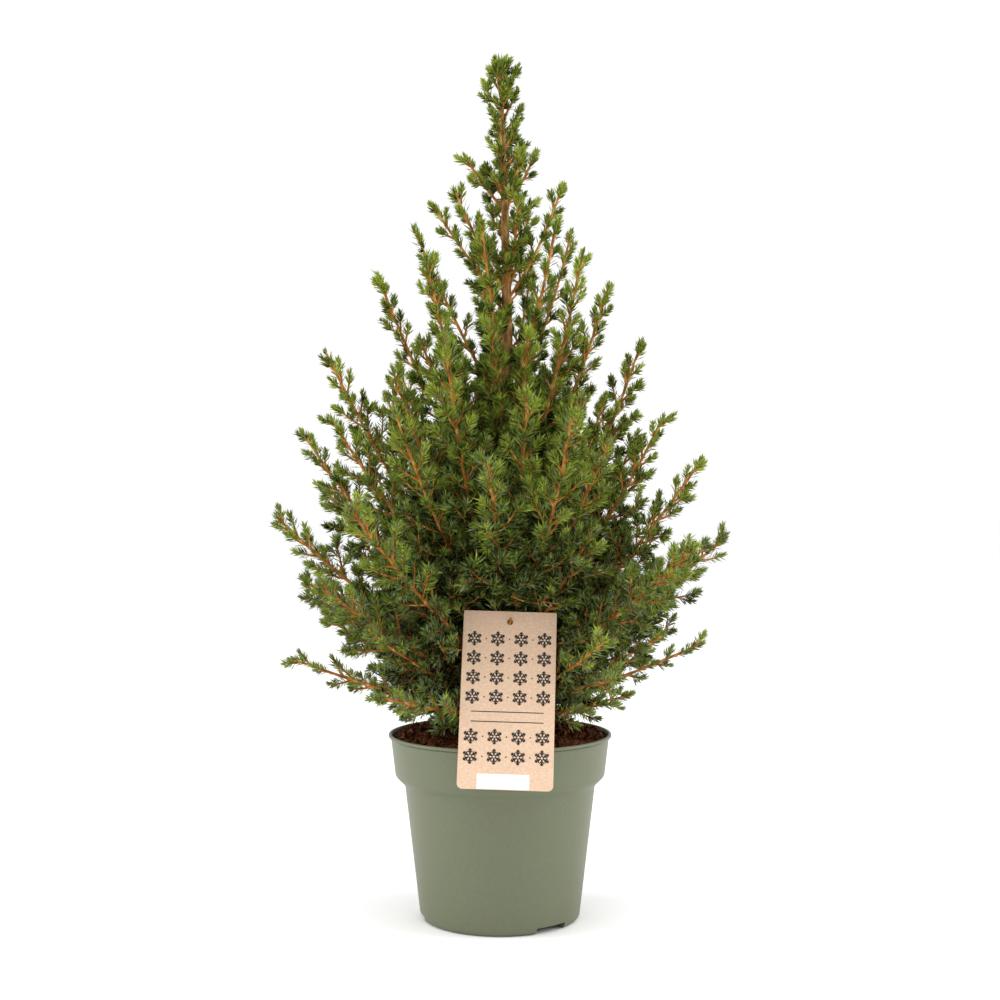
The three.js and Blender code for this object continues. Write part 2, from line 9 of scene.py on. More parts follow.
import bpy
import numpy as np
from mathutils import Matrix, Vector

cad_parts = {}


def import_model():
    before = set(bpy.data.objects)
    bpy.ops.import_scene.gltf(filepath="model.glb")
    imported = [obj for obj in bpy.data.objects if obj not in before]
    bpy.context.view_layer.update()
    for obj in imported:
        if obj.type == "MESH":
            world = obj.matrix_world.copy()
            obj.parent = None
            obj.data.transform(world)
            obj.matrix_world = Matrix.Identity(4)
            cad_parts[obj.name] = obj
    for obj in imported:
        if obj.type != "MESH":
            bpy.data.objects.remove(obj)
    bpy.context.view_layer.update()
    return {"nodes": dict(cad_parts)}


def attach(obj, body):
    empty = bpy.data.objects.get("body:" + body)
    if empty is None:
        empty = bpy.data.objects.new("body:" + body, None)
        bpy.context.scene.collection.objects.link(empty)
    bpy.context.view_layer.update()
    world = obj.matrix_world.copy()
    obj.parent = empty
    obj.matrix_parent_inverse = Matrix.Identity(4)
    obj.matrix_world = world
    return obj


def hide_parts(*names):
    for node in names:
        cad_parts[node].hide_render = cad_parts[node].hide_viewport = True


MM = 0.001
UP = np.array([0.0, 0.0, 1.0])
GOLDEN_ANGLE = math.radians(137.508)

# The gap between pieces that touch on the real plant.
GAP = 0.3

# Where each stream of random numbers starts.
SEEDS = {"source": 500, "fill": 1000, "skirt": 4000, "trunk_twigs": 77, "needles": 20, "crumbs": 5}

# Factors of the noise's hash, which turns a cell's corner and a seed into a number.
HASH_FACTORS = np.array([374761393, 668265263, 2147483647])
HASH_SEED_FACTOR = 144665
HASH_MIX_FACTOR = 1274126177
HASH_BITS = 0xFFFFFFFF

# The pot, as in the source, with its finer mouldings.
POT_HEIGHT = 140
POT_WALL = 1.4
POT_FLOOR = 2
BASE_RADIUS = 61
BASE_ROUNDING = 4
BODY_TOP = (72.4, 99.5)
COLLAR_BOTTOM = (80, 110)
COLLAR_TOP = (83.2, 136.8)
RIM_RADIUS = 85
NOTCH = {"width": 27, "height": 5, "from": 50, "count": 3, "first_degrees": 309}
POT_SEGMENTS = 160
POT_STEPS = {"foot": 6, "body": 10, "shoulder": 12, "collar": 6}
POT_MIDDLE = (0.01, 1)
POT_CREASE = 40

# The soil. Its grain is a sum of noises, each with a height, a cell and a seed.
SOIL_TOP = 143
SOIL_FLAT_RADIUS = 17
SOIL_EDGE_DROP = 7
SOIL_EDGE_POWER = 4
SOIL_LUMP = 1.3
LUMP_WAVE = {"long": 0.12, "short": 0.21, "shift": 1.3}
SOIL_CLEARANCE = 2
SOIL_RINGS = 70
SOIL_SEGMENTS = 160
SOIL_MARGINS = {"middle": 0.5, "wall": 0.6}
SOIL_GRAIN = ((0.9, 6, 3), (0.7, 2.6, 5), (0.45, 1.3, 8))
SOIL_SINK = 0.3

# The crumbs on the soil.
CRUMBS = 1700
CRUMB_SIZE = (0.5, 2.7)
CRUMB_SIZE_POWER = 2.6
CRUMB_WALL_GAP = 4
CRUMB_TRUNK_GAP = 13
CRUMB_RISE = 0.35
CRUMB_STRETCH = (0.6, 1.4)
CRUMB_JITTER = 0.25

# The trunk, with low spurs at its foot. Each run of rows is its first and last rise and its count.
TREE_HEIGHT = 514
TRUNK_BASE_RADIUS = 8.6
TRUNK_TIP_RADIUS = 1.1
TRUNK_LEAST_RADIUS = 0.9
TRUNK_SWAY = (5.5, 2.75)
ROOT_FLARE = 4.5
ROOT_FLARE_HEIGHT = 9
SPURS = {"count": 4, "depth": 0.16, "height": 7, "turn": 0.6}
TRUNK_SIDES = 32
TRUNK_ROWS = ((GAP, 30, 14), (33, TREE_HEIGHT - 6, 200))
LEADER_LENGTH = 74

# The bark's relief is a sum of noises, drawn out along the stem, and lower on thin stems.
BARK_GRAIN = ((0.34, 3.2, 11), (0.2, 1.4, 13))
BARK_DRAWN = (1, 1, 0.4)
BARK_FULL_RADIUS = 5
BARK_LEAST_SHARE = 0.15
BOUGH_BARK_SHARE = 0.45
LABEL_TWIG_BARK_SHARE = 0.2

# The rings of boughs, as in the source: where a ring leaves the trunk above the soil, the rise
# and sideways reach of its left and right tips, how far these are turned from due left and due
# right, and the directions of its other boughs in degrees.
RINGS = [
    {"foot": 8, "left": (56, 152), "right": (68, 150), "turn": (14, -12), "between": (62, 118)},
    {"foot": 20, "left": (112, 157), "right": (147, 180), "turn": (-16, 14), "between": (216, 320)},
    {"foot": 33, "left": (162, 168), "right": (205, 148), "turn": (8, -16), "between": (231, 95)},
    {"foot": 50, "left": (228, 156), "right": (236, 121), "turn": (-12, -14), "between": (292, 45)},
    {"foot": 67, "left": (284, 130), "right": (298, 110), "turn": (12, 12), "between": (252, 132)},
    {"foot": 143, "left": (350, 96), "right": (336, 82), "turn": (-14, -10), "between": (235, 72)},
    {"foot": 239, "left": (380, 65), "right": (382, 55), "turn": (10, 16), "between": (318, 110)},
    {"foot": 323, "left": (401, 51), "right": (413, 47), "turn": (-10, -14), "between": (228, 60)},
    {"foot": 395, "left": (436, 27), "right": (442, 27), "turn": (10, 12), "between": ()},
]
WOODY_RINGS = 5
FOOT_STEP = 3.2
CONTROL_REACH = 0.57
CONTROL_RISE = 0.43
SIDE_SWAY = 0.07

# A bough's radius at its foot is a share of the trunk's a little higher up, less on a short bough.
BOUGH_THICKNESS = {"lowest": 0.22, "woody": 0.33, "upper": 0.36, "top": 0.36}
BOUGH_ABOVE_FOOT = 20
BOUGH_FULL_LENGTH = 150
BOUGH_LEAST_RADIUS = 1.3
BOUGH_TIP_RADIUS = 0.9
BOUGH_POINTS = 30
BOUGH_FOOT_POINTS = 4
BOUGH_SIDES = 8
BOUGH_BARE = 0.24

# The boughs between those of the source fill each ring to an even spacing in degrees. Their tips
# are lifted, spread in height and turned a little, at a share of the ring's reach.
FILL_SPACING = {"lowest": 42, "woody": 33, "upper": 32, "top": 60}
FILL_LIFT = {"lowest": -14, "woody": 18, "upper": 16, "top": 10}
FILL_SPREAD = 34
FILL_REACH = (0.64, 0.95)
FILL_TURN = 12
FILL_FOOT_SPREAD = 16

# The short, thin boughs of the crown's foot: just above the soil, and between the two lowest rings.
SKIRTS = [
    {"count": 11, "foot": 8, "rise": (17, 30), "reach": (82, 112)},
    {"count": 9, "foot": 15, "rise": (66, 96), "reach": (112, 142)},
]
SKIRT_TURN = 0.7

# Each shoot has an order, counted from the trunk, and a point for each step of its length.
BOUGH = 1
TWIG = 2
SIDE_TWIG = 3
SHOOT_STEP = 8
SHOOT_POINTS = 4
SHOOT_LEAST_POINTS = 3

# The twigs on a bough: their spacing, greatest length and greatest share of the bough's length.
# A pair goes from foot to tip or, for a spread, from the least to the most by chance. A curve is
# how far a twig's end is lifted and bent along its bough.
TWIGS = {
    "lowest": (8, 34, 0.36),
    "woody": (6, 76, 0.55),
    "upper": (5.2, 44, 0.4),
    "top": (7, 20, 0.28),
}
TWIG_SPAN = (0.12, 0.97)
TWIG_TURN = 0.6
TWIG_LENGTH_AT_TIP = 11
TWIG_TAPER = 0.9
TWIG_SPREAD = (0.55, 1.15)
TWIG_ANGLE = (52, 38)
TWIG_CURVE = (0.3, 0.35)
TWIG_RADII = (1.15, 0.55)
TWIG_SIDES = 3
TWIG_BARE = 0.14

# The twigs on a long twig.
SIDE_TWIG_SPACING = 10
SIDE_TWIG_OFFSET = (0.7, 1.1)
SIDE_TWIG_END = 0.6
SIDE_TWIG_SHARE = 0.42
SIDE_TWIG_SHRINK = (1.1, 0.5)
SIDE_TWIG_SPREAD = (0.7, 1.2)
SIDE_TWIG_ANGLE = 48
SIDE_TWIG_CURVE = (0.25, 0.3)
SIDE_TWIG_RADII = (0.8, 0.5)
SIDE_TWIG_LEAST = 22

# The twigs straight from the trunk's upper part, which crowd together towards its top.
TRUNK_TWIGS_FROM = 183
TRUNK_TWIGS_END = 10
TRUNK_TWIG_SPACING = (7.5, 1.1)
TRUNK_TWIG_CROWDING = 4
TRUNK_TWIG_STEP_SPREAD = (0.7, 1.3)
TRUNK_TWIG_LEAN = (54, 38)
TRUNK_TWIG_LEAN_SPREAD = 12
TRUNK_TWIG_LIFT = 0.5
TRUNK_TWIG_OUTER = (0.4, 0.5)
TRUNK_TWIG_BARE = 0.3
TRUNK_TWIG_SHORTEST = 4
TRUNK_TWIG_LONGEST = (30, 24)
TRUNK_TWIG_GROWTH = 0.66
TRUNK_TWIG_SPREAD = (0.75, 1.15)

# The leader's line begins below the leader itself, so that the trunk under it has needles too.
LEADER = {"below": 100, "end": 4, "points": 24, "radius": 0.8, "outer": 0.8, "club": 1.4, "needle": 1.25}

# The needles. A pair of numbers goes from the crown's foot to its top, for the lean from the
# shoot's foot to its tip, and for a spread from the least to the most by chance.
NEEDLE_LENGTH = (13.5, 6.8)
NEEDLE_SHARE_IN_FRONT = 1.15
NEEDLE_SHARE_AT_SIDES = {"lowest": 0.6, "woody": 0.72, "upper": 0.9, "top": 1}
NEEDLE_SHARE_AT_TIP = 0.8
NEEDLE_SPREAD = (0.75, 1.05)
NEEDLE_RADIUS = 0.42
NEEDLE_RADIUS_SPREAD = (0.85, 1.15)
NEEDLE_BELLY = 0.5
NEEDLE_FOLD = 0.8
NEEDLES_FROM = 1.5
NEEDLES_PER_MM = (2.15, 2.4)
BOUGH_NEEDLE_SHARE = (0.5, 0.3)
LEAST_NEEDLES = 4
NEEDLE_TURN_SPREAD = 0.35
NEEDLE_LEAN = (56, 42)
NEEDLE_LEAN_AT_TOP = 0.75
NEEDLE_LEAN_SPREAD = 7
NEEDLE_TIP_REACH = 16
NEEDLE_RISE = 0.12
NEEDLES_PER_PIECE = 96000

# The club of needles at a shoot's tip. Pairs go from its outermost needles to its innermost.
BUD_NEEDLES = 31
BUD_SIZE = (5.5, 8)
BUD_SPREAD = (0.9, 1.1)
BUD_DEPTH = 9
BUD_LEAN = (12, 50)
BUD_LEAN_SPREAD = 5
BUD_NEEDLE_RADIUS = 0.6

# The needles' tones from dark to bright. The last, a greyer green that is partly the needles' bluish bloom
# and partly a painted sheen, is dealt out among the needles of the lower crown, less and less up to a share
# of the tree's height.
NEEDLE_COLOURS = {
    # The darker tones are painted shade for the crown's inside, the brighter ones painted light for its
    # outside and top, over the needles' own age.
    "shaded": (16, 24, 6),
    "old_and_shaded": (60, 75, 24),
    "middle": (98, 117, 44),
    "young_and_lit": (128, 147, 54),
    "bright": (156, 174, 70),
    # silver: partly the needles' bluish bloom, partly a painted sheen.
    "silver": (130, 146, 106),
}
TONES = tuple(NEEDLE_COLOURS)
BRIGHTEST = TONES.index("bright")
SILVER = TONES.index("silver")
SILVER_SHARE = 0.46
SILVER_UNTIL = 0.5
NEEDLE_DARK = 0.86
NEEDLE_LIGHT = (1.1, 1.08, 1.05)

# A needle's tone is a number in that list. It grows from the crown's inside to its outside, and towards the
# shoot's tip and the crown's foot, is less on a bough, and has a floor that grows with the height: the dark
# tones inside the crown are painted shade, and the bright ones on its outside and top are painted light.
# Pairs go from the crown's foot to its top.
TONE_INSIDE = (-1.4, 1.2)
TONE_OUTSIDE = (3.2, 2.4)
TONE_FLOOR = (-0.4, 1.6)
TONE_ON_BOUGH = 0.3
TONE_AT_TIP = 1.25
TONE_TIP_REACH = 12
TONE_PALE_UNTIL = 0.45
TONE_SHOOT_SPREAD = 0.7
TONE_NEEDLE_SPREAD = 0.85

# The label and the twig that holds it. Each corner has its side, its end, its radius and its
# points, and they go anticlockwise from the lower right one.
TAG = {"width": 68, "height": 130.6, "thickness": 0.6, "lean": 21, "turn": -1.9, "x": 5.5}
HALF_WIDTH = TAG["width"] / 2
HALF_HEIGHT = TAG["height"] / 2
TAG_CORNERS = ((1, -1, 4, 7), (1, 1, 1, 4), (-1, 1, 1, 4), (-1, -1, 4, 7))
TAG_ABOVE_RIM = 37
TAG_CLEARANCE = 2.5
TAG_HOLE = {"radius": 2.1, "below": 8}
TAG_TWIG = {"foot": 45, "radius": 2, "end_radius": 1.35, "tip_radius": 0.4, "past": 6, "points": 14}

# The label's print: the snow crystal, the grid, the two rules and the bare strip.
CRYSTAL = {
    "arms": 6, "first_degrees": 30, "hub": 0.8, "arm": 5.6, "width": 1.2,
    "branch": 2.4, "branch_width": 0.9, "branch_degrees": 55, "branches_at": (0.45, 0.72), "taper": 1.3,
}
PRINT = {"columns": 4, "rows": 7, "top": 21, "step": 14.4, "height": 0.05, "dot": 1, "row_of_rules": 4}
RULE = {"inset": 8, "offset": 3.6, "width": 0.7}
STRIP = {"left": -20, "above_foot": 5.7, "length": 37, "width": 10.6}

# The looks. Each has its stops as places in the noise with screen colours, its roughness and
# specular level, the noise's scale and detail, the bump's strength and depth in metres, and how
# much the noise is squeezed along each axis.
LOOKS = {
    "bark": {
        "stops": [(0.3, (92, 62, 30)), (0.5, (148, 108, 60)), (0.72, (198, 158, 100))],
        "surface": (0.85, 0.25), "noise": (260, 8), "bump": (0.6, 0.0006), "stretch": (1, 1, 0.35),
    },
    "shoot_bark": {
        "stops": [(0.3, (120, 68, 22)), (0.55, (180, 117, 50)), (0.75, (221, 174, 102))],
        "surface": (0.7, 0.2), "noise": (220, 5), "bump": (0.4, 0.0003), "stretch": (1, 1, 0.5),
    },
    "sage_plastic": {
        "stops": [(0.35, (95, 100, 76)), (0.65, (101, 106, 82))],
        "surface": (0.48, 0.45), "noise": (900, 3), "bump": (0.06, 0.0002),
    },
    "peat": {
        "stops": [(0.3, (26, 9, 2)), (0.5, (66, 32, 12)), (0.75, (126, 80, 44))],
        "surface": (0.95, 0.12), "noise": (340, 8), "bump": (0.8, 0.001),
    },
    "kraft_card": {
        "stops": [(0.3, (207, 175, 148)), (0.55, (217, 186, 158)), (0.75, (226, 197, 170))],
        "surface": (0.8, 0.5), "noise": (500, 8), "bump": (0.12, 0.0002), "stretch": (1, 3.5, 1),
    },
    "black_ink": {
        "stops": [(0.3, (30, 26, 24)), (0.7, (44, 38, 34))],
        "surface": (0.6, 0.5), "noise": (900, 4), "bump": (0.05, 0.0001),
    },
    "white_strip": {
        "stops": [(0.3, (238, 236, 232)), (0.7, (247, 246, 243))],
        "surface": (0.6, 0.5), "noise": (900, 4), "bump": (0.05, 0.0001),
    },
}
NEEDLE_LOOK = {"surface": (0.42, 0.1), "noise": (60, 2)}

# The stage, the lights and the camera. Each light has its place and aim in metres, its size and
# its power.
FLOOR_SIZE = 200
FLOOR_COLOUR = (0.97, 0.97, 0.97, 1)
WORLD_STRENGTH = 1.04
LIGHTS = {
    "key_left": ((-1.6, -0.15, 0.9), (0, 0, 0.33), 1.0, 15),
    "key_right": ((1.6, -0.1, 0.9), (0, 0, 0.3), 1.0, 13),
    "top": ((0.1, -0.35, 2.0), (0, 0, 0.4), 0.9, 12),
}
CAMERA_HEIGHT = 317.6
CAMERA_DISTANCE = 1163
CAMERA_LENS = 54.7
SENSOR_WIDTH = 36


def mix(a, b, share):
    return a + (b - a) * share


def unit(vectors):
    length = np.linalg.norm(vectors, axis=-1, keepdims=True)
    return vectors / np.maximum(length, 1e-9)


def seeded_random(seed):
    """The source's repeatable stream of numbers from 0 to 1."""
    state = ((seed + 1) * 2654435761) % 2**32

    def draw():
        nonlocal state
        state = (state * 1664525 + 1013904223) % 2**32
        return state / 2**32

    return draw


def value_noise(points, cell, seed):
    """Smooth noise from -1 to 1 at each point, with features about one cell across."""
    scaled = np.asarray(points, float) / cell
    low = np.floor(scaled).astype(np.int64)
    part = scaled - low
    part = part * part * (3 - 2 * part)
    total = np.zeros(len(scaled))
    for corner in range(8):
        step = np.array([corner & 1, (corner >> 1) & 1, (corner >> 2) & 1])
        mixed = ((low + step) @ HASH_FACTORS + seed * HASH_SEED_FACTOR) & HASH_BITS
        mixed = ((mixed ^ (mixed >> 13)) * HASH_MIX_FACTOR) & HASH_BITS
        value = ((mixed ^ (mixed >> 16)) & 0xFFFF) / 0x7FFF - 1
        weight = np.prod(np.where(step == 1, part, 1 - part), axis=1)
        total += weight * value
    return total


def layered_noise(points, layers):
    """A sum of noises, each with a height, a cell and a seed."""
    return sum(height * value_noise(points, cell, seed) for height, cell, seed in layers)


# Meshes


def add_object(name, data):
    item = bpy.data.objects.new(name, data)
    bpy.context.scene.collection.objects.link(item)
    return item


def add_mesh(name, vertices, faces, material, smooth=True):
    """A piece from an array of points in millimetres and an array of faces."""
    mesh = bpy.data.meshes.new(name)
    mesh.from_pydata(np.asarray(vertices, np.float32) * MM, [], faces, shade_flat=not smooth)
    mesh.materials.append(material)
    return add_object(name, mesh)


def across(tangents):
    """Two directions square to each tangent: the first level, the second upwards."""
    level = np.cross(UP, tangents)
    short = np.linalg.norm(level, axis=-1) < 1e-3
    level[short] = (1.0, 0.0, 0.0)
    level = unit(level)
    return level, unit(np.cross(tangents, level))


def side_directions(tangents, angles):
    """Directions square to each tangent, each turned round it by an angle."""
    level, upward = across(tangents)
    return level * np.cos(angles)[:, None] + upward * np.sin(angles)[:, None]


def level_direction(degrees):
    return np.array([math.cos(math.radians(degrees)), math.sin(math.radians(degrees)), 0.0])


def tangents_of(points):
    before = np.vstack([points[:1], points[:-1]])
    after = np.vstack([points[1:], points[-1:]])
    return unit(after - before)


def circle(sides):
    """Cosines and sines of directions spaced evenly round a circle."""
    angles = np.arange(sides) * 2 * math.pi / sides
    return np.cos(angles), np.sin(angles)


def ring_quads(rings, sides):
    """Quads between neighbouring rings of points."""
    row = np.arange(rings - 1)[:, None] * sides
    column = np.arange(sides)[None]
    after = (column + 1) % sides
    quads = np.stack([row + column, row + after, row + sides + after, row + sides + column], axis=-1)
    return quads.reshape(-1, 4)


def tube(points, radii, sides, bark_share=0):
    """Vertices and quads of an open tube, with a share of the bark's relief."""
    level, upward = across(tangents_of(points))
    cosines, sines = circle(sides)
    ring = level[:, None] * cosines[:, None] + upward[:, None] * sines[:, None]
    reach = np.repeat(np.asarray(radii, float)[:, None], sides, axis=1)
    if bark_share:
        places = (points[:, None] + ring * reach[..., None]).reshape(-1, 3)
        reach = reach + bark_share * bark_relief(places).reshape(reach.shape)
    vertices = (points[:, None] + ring * reach[..., None]).reshape(-1, 3)
    return vertices, ring_quads(len(points), sides)


def lathe(profile, sides):
    """Vertices and quads of a profile of radii and heights, turned round the axis."""
    radii, heights = np.array(profile, float).T
    cosines, sines = circle(sides)
    x = radii[:, None] * cosines
    y = radii[:, None] * sines
    z = np.repeat(heights[:, None], sides, axis=1)
    return np.stack([x, y, z], axis=-1).reshape(-1, 3), ring_quads(len(radii), sides)


def add_parts(name, parts, material, smooth=True):
    """A piece from a list of parts, each an array of vertices and one of faces."""
    vertices = [part[0] for part in parts]
    starts = np.cumsum([0] + [len(places) for places in vertices])
    faces = [part[1] + start for part, start in zip(parts, starts)]
    return add_mesh(name, np.vstack(vertices), np.vstack(faces), material, smooth)


# The tree's limbs


def trunk_point(height):
    share = (height - SOIL_TOP) / TREE_HEIGHT
    x = TRUNK_SWAY[0] * math.sin(math.pi * share)
    y = TRUNK_SWAY[1] * math.sin(2 * math.pi * share)
    return np.array([x, y, height])


def trunk_radius(height):
    share = (height - SOIL_TOP) / TREE_HEIGHT
    flare = ROOT_FLARE * math.exp(-(height - SOIL_TOP) / ROOT_FLARE_HEIGHT)
    return mix(TRUNK_BASE_RADIUS, TRUNK_TIP_RADIUS, share) + flare


def bezier(foot, control, tip, shares):
    shares = np.asarray(shares, float)[:, None]
    return (1 - shares) ** 2 * foot + 2 * shares * (1 - shares) * control + shares**2 * tip


def bough_line(foot_height, rise, reach, degrees, sway):
    """Foot, control and tip of a bough's curve."""
    foot = trunk_point(foot_height)
    outward = level_direction(degrees)
    sideways = np.array([-outward[1], outward[0], 0.0])
    climb = SOIL_TOP + rise - foot_height
    control = foot + outward * (CONTROL_REACH * reach) + sideways * sway + UP * (CONTROL_RISE * climb)
    tip = outward * reach + UP * (SOIL_TOP + rise)
    return foot, control, tip


def ring_size(ring, degrees):
    """Rise and reach of a ring in one direction."""
    to_right = (1 + math.cos(math.radians(degrees))) / 2
    rise = mix(ring["left"][0], ring["right"][0], to_right)
    reach = mix(ring["left"][1], ring["right"][1], to_right)
    return rise, reach


def zone_of(k):
    """Which part of the crown a ring belongs to."""
    if k == 0:
        return "lowest"
    if k < WOODY_RINGS:
        return "woody"
    return "upper" if k == WOODY_RINGS else "top"


def directions_of(ring):
    return (180 + ring["turn"][0], ring["turn"][1], *ring["between"])


def source_boughs():
    """The boughs of the source, each as a curve, the number of its ring and a seed."""
    boughs = []
    for k, ring in enumerate(RINGS):
        for turn, degrees in enumerate(directions_of(ring)):
            rise, reach = ring_size(ring, degrees)
            if turn < len(ring["turn"]):
                reach /= abs(math.cos(math.radians(degrees)))
            sway = SIDE_SWAY * reach * (2 * seeded_random(100 * k + turn)() - 1)
            foot_height = SOIL_TOP + ring["foot"] + FOOT_STEP * turn
            line = bough_line(foot_height, rise, reach, degrees, sway)
            boughs.append((line, k, SEEDS["source"] + 10 * k + turn))
    return boughs


def fill_boughs():
    """Shorter boughs that fill the wide gaps between a ring's source boughs."""
    boughs = []
    for k, ring in enumerate(RINGS):
        zone = zone_of(k)
        directions = sorted(degrees % 360 for degrees in directions_of(ring))
        for i, degrees in enumerate(directions):
            gap = (directions[(i + 1) % len(directions)] - degrees) % 360
            count = max(0, round(gap / FILL_SPACING[zone]) - 1)
            for j in range(count):
                seed = SEEDS["fill"] + 100 * k + 10 * i + j
                random = seeded_random(seed)
                toward = degrees + gap * (j + 1) / (count + 1) + FILL_TURN * (random() - 0.5)
                rise, reach = ring_size(ring, toward)
                share = mix(*FILL_REACH, random())
                foot_height = SOIL_TOP + ring["foot"] + FILL_FOOT_SPREAD * random()
                sway = 2 * SIDE_SWAY * reach * (random() - 0.5)
                fill_rise = mix(ring["foot"], rise, share) + FILL_LIFT[zone]
                fill_rise += FILL_SPREAD * (random() - 0.5)
                line = bough_line(foot_height, fill_rise, share * reach, toward, sway)
                boughs.append((line, k, seed))
    return boughs


def skirt_boughs():
    """Short boughs all round, at the foot of the crown, which count as the lowest ring's."""
    boughs = []
    for k, skirt in enumerate(SKIRTS):
        for i in range(skirt["count"]):
            seed = SEEDS["skirt"] + 100 * k + i
            random = seeded_random(seed)
            toward = 360 * (i + SKIRT_TURN * random()) / skirt["count"]
            rise = mix(*skirt["rise"], random())
            reach = mix(*skirt["reach"], random())
            boughs.append((bough_line(SOIL_TOP + skirt["foot"], rise, reach, toward, 0), 0, seed))
    return boughs


# The label's place


def tag_frame():
    lean = math.radians(TAG["lean"])
    upward = np.array([0, math.sin(lean), math.cos(lean)])
    outward = np.array([0, -math.cos(lean), math.sin(lean)])
    centre = np.array([TAG["x"], -RIM_RADIUS, POT_HEIGHT], float)
    centre = centre + outward * (GAP + TAG["thickness"] / 2) + upward * TAG_ABOVE_RIM
    turn = math.radians(TAG["turn"])
    right = np.cross(upward, outward)
    turned_up = upward * math.cos(turn) + np.cross(outward, upward) * math.sin(turn)
    return {"centre": centre, "up": turned_up, "out": outward, "right": np.cross(turned_up, outward)}


TAG_FRAME = tag_frame()


def near_tag(points):
    """True for each point on the label or in front of it."""
    offset = points - TAG_FRAME["centre"]
    return (
        (np.abs(offset @ TAG_FRAME["right"]) < HALF_WIDTH + TAG_CLEARANCE)
        & (np.abs(offset @ TAG_FRAME["up"]) < HALF_HEIGHT + TAG_CLEARANCE)
        & (offset @ TAG_FRAME["out"] > -TAG_CLEARANCE)
    )


def is_free(points):
    """True for each point clear of the label, the pot and the soil."""
    return (points[:, 2] > SOIL_TOP + SOIL_CLEARANCE) & ~near_tag(points)


# Shoots


def add_shoot(shoots, points, radii, order, outer, bare=0.0, club=1.0, needle=1.0):
    """Keeps a shoot up to the first point that isn't free.

    outer says how far out it is, bare which share has no needles, club how large the needles of
    its tip are, and needle how long and how close the others are.
    """
    free = is_free(points)
    free[0] = True
    stop = len(points) if free.all() else int(np.argmin(free))
    if stop < SHOOT_LEAST_POINTS:
        return False
    shoots.append({
        "points": points[:stop],
        "radii": np.asarray(radii)[:stop],
        "order": order,
        "outer": outer,
        "bare": bare,
        "club": club,
        "needle": needle,
        "whole": stop == len(points),
    })
    return True


def curved_shoot(foot, start, end, length):
    """Points of a shoot that sets out in one direction and ends in another."""
    control = foot + start * (0.5 * length)
    tip = control + unit(end) * (0.5 * length)
    count = max(SHOOT_POINTS, round(length / SHOOT_STEP) + 1)
    return bezier(foot, control, tip, np.linspace(0, 1, count))


def side_shoot(parent_points, at, around, lean, length, lift, bend):
    """Points of a shoot that leaves its parent at a share of its length and turns upwards."""
    place = at * (len(parent_points) - 1)
    low = min(int(place), len(parent_points) - 2)
    foot = mix(parent_points[low], parent_points[low + 1], place - low)
    tangent = unit(parent_points[low + 1] - parent_points[low])
    side = side_directions(tangent[None], np.array([around]))[0]
    start = tangent * math.cos(lean) + side * math.sin(lean)
    return curved_shoot(foot, start, start + tangent * bend + UP * lift, length)


def grow_side_twigs(shoots, points, length, outer, random, needle=1.0):
    """Second twigs on a long twig."""
    count = int(length / SIDE_TWIG_SPACING)
    phase = 2 * math.pi * random()
    lean = math.radians(SIDE_TWIG_ANGLE)
    for i in range(count):
        share = (i + mix(*SIDE_TWIG_OFFSET, random())) / (count + SIDE_TWIG_END)
        around = phase + i * GOLDEN_ANGLE
        side_length = SIDE_TWIG_SHARE * length * mix(*SIDE_TWIG_SHRINK, share)
        side_length *= mix(*SIDE_TWIG_SPREAD, random())
        side = side_shoot(points, share, around, lean, side_length, *SIDE_TWIG_CURVE)
        radii = np.linspace(*SIDE_TWIG_RADII, len(side))
        add_shoot(shoots, side, radii, SIDE_TWIG, outer, needle=needle)


def grow_bough(shoots, limbs, line, ring, seed):
    """One bough with its twigs: its wood goes to limbs, and every line with needles to shoots."""
    random = seeded_random(seed)
    foot, control, tip = line
    shares = np.linspace(0, 1, BOUGH_POINTS)
    points = bezier(foot, control, tip, shares)
    if not is_free(points[BOUGH_FOOT_POINTS:]).all():
        return
    length = np.linalg.norm(np.diff(points, axis=0), axis=1).sum()
    zone = zone_of(ring)
    sideways = abs(unit(tip[:2])[0])
    needle = mix(NEEDLE_SHARE_IN_FRONT, NEEDLE_SHARE_AT_SIDES[zone], sideways)
    foot_radius = BOUGH_THICKNESS[zone] * trunk_radius(foot[2] + BOUGH_ABOVE_FOOT)
    foot_radius = max(foot_radius * min(1, length / BOUGH_FULL_LENGTH), BOUGH_LEAST_RADIUS)
    radii = mix(foot_radius, BOUGH_TIP_RADIUS, np.sqrt(shares))
    limbs.append((points, radii))
    add_shoot(shoots, points, radii, BOUGH, 1.0, bare=BOUGH_BARE, needle=needle)
    spacing, limit, share_of_bough = TWIGS[zone]
    count = int(length * (1 - TWIG_SPAN[0]) / spacing)
    phase = 2 * math.pi * random()
    longest = min(limit, share_of_bough * length)
    for i in range(count):
        share = mix(*TWIG_SPAN, (i + random()) / count)
        around = phase + i * GOLDEN_ANGLE + TWIG_TURN * random()
        twig_length = mix(longest, TWIG_LENGTH_AT_TIP, share**TWIG_TAPER)
        twig_length *= mix(*TWIG_SPREAD, random())
        lean = math.radians(mix(*TWIG_ANGLE, share))
        twig = side_shoot(points, share, around, lean, twig_length, *TWIG_CURVE)
        twig_radii = np.linspace(*TWIG_RADII, len(twig))
        kept = add_shoot(shoots, twig, twig_radii, TWIG, share, TWIG_BARE, needle=needle)
        if kept and twig_length > SIDE_TWIG_LEAST:
            grow_side_twigs(shoots, twig, twig_length, share, random, needle)


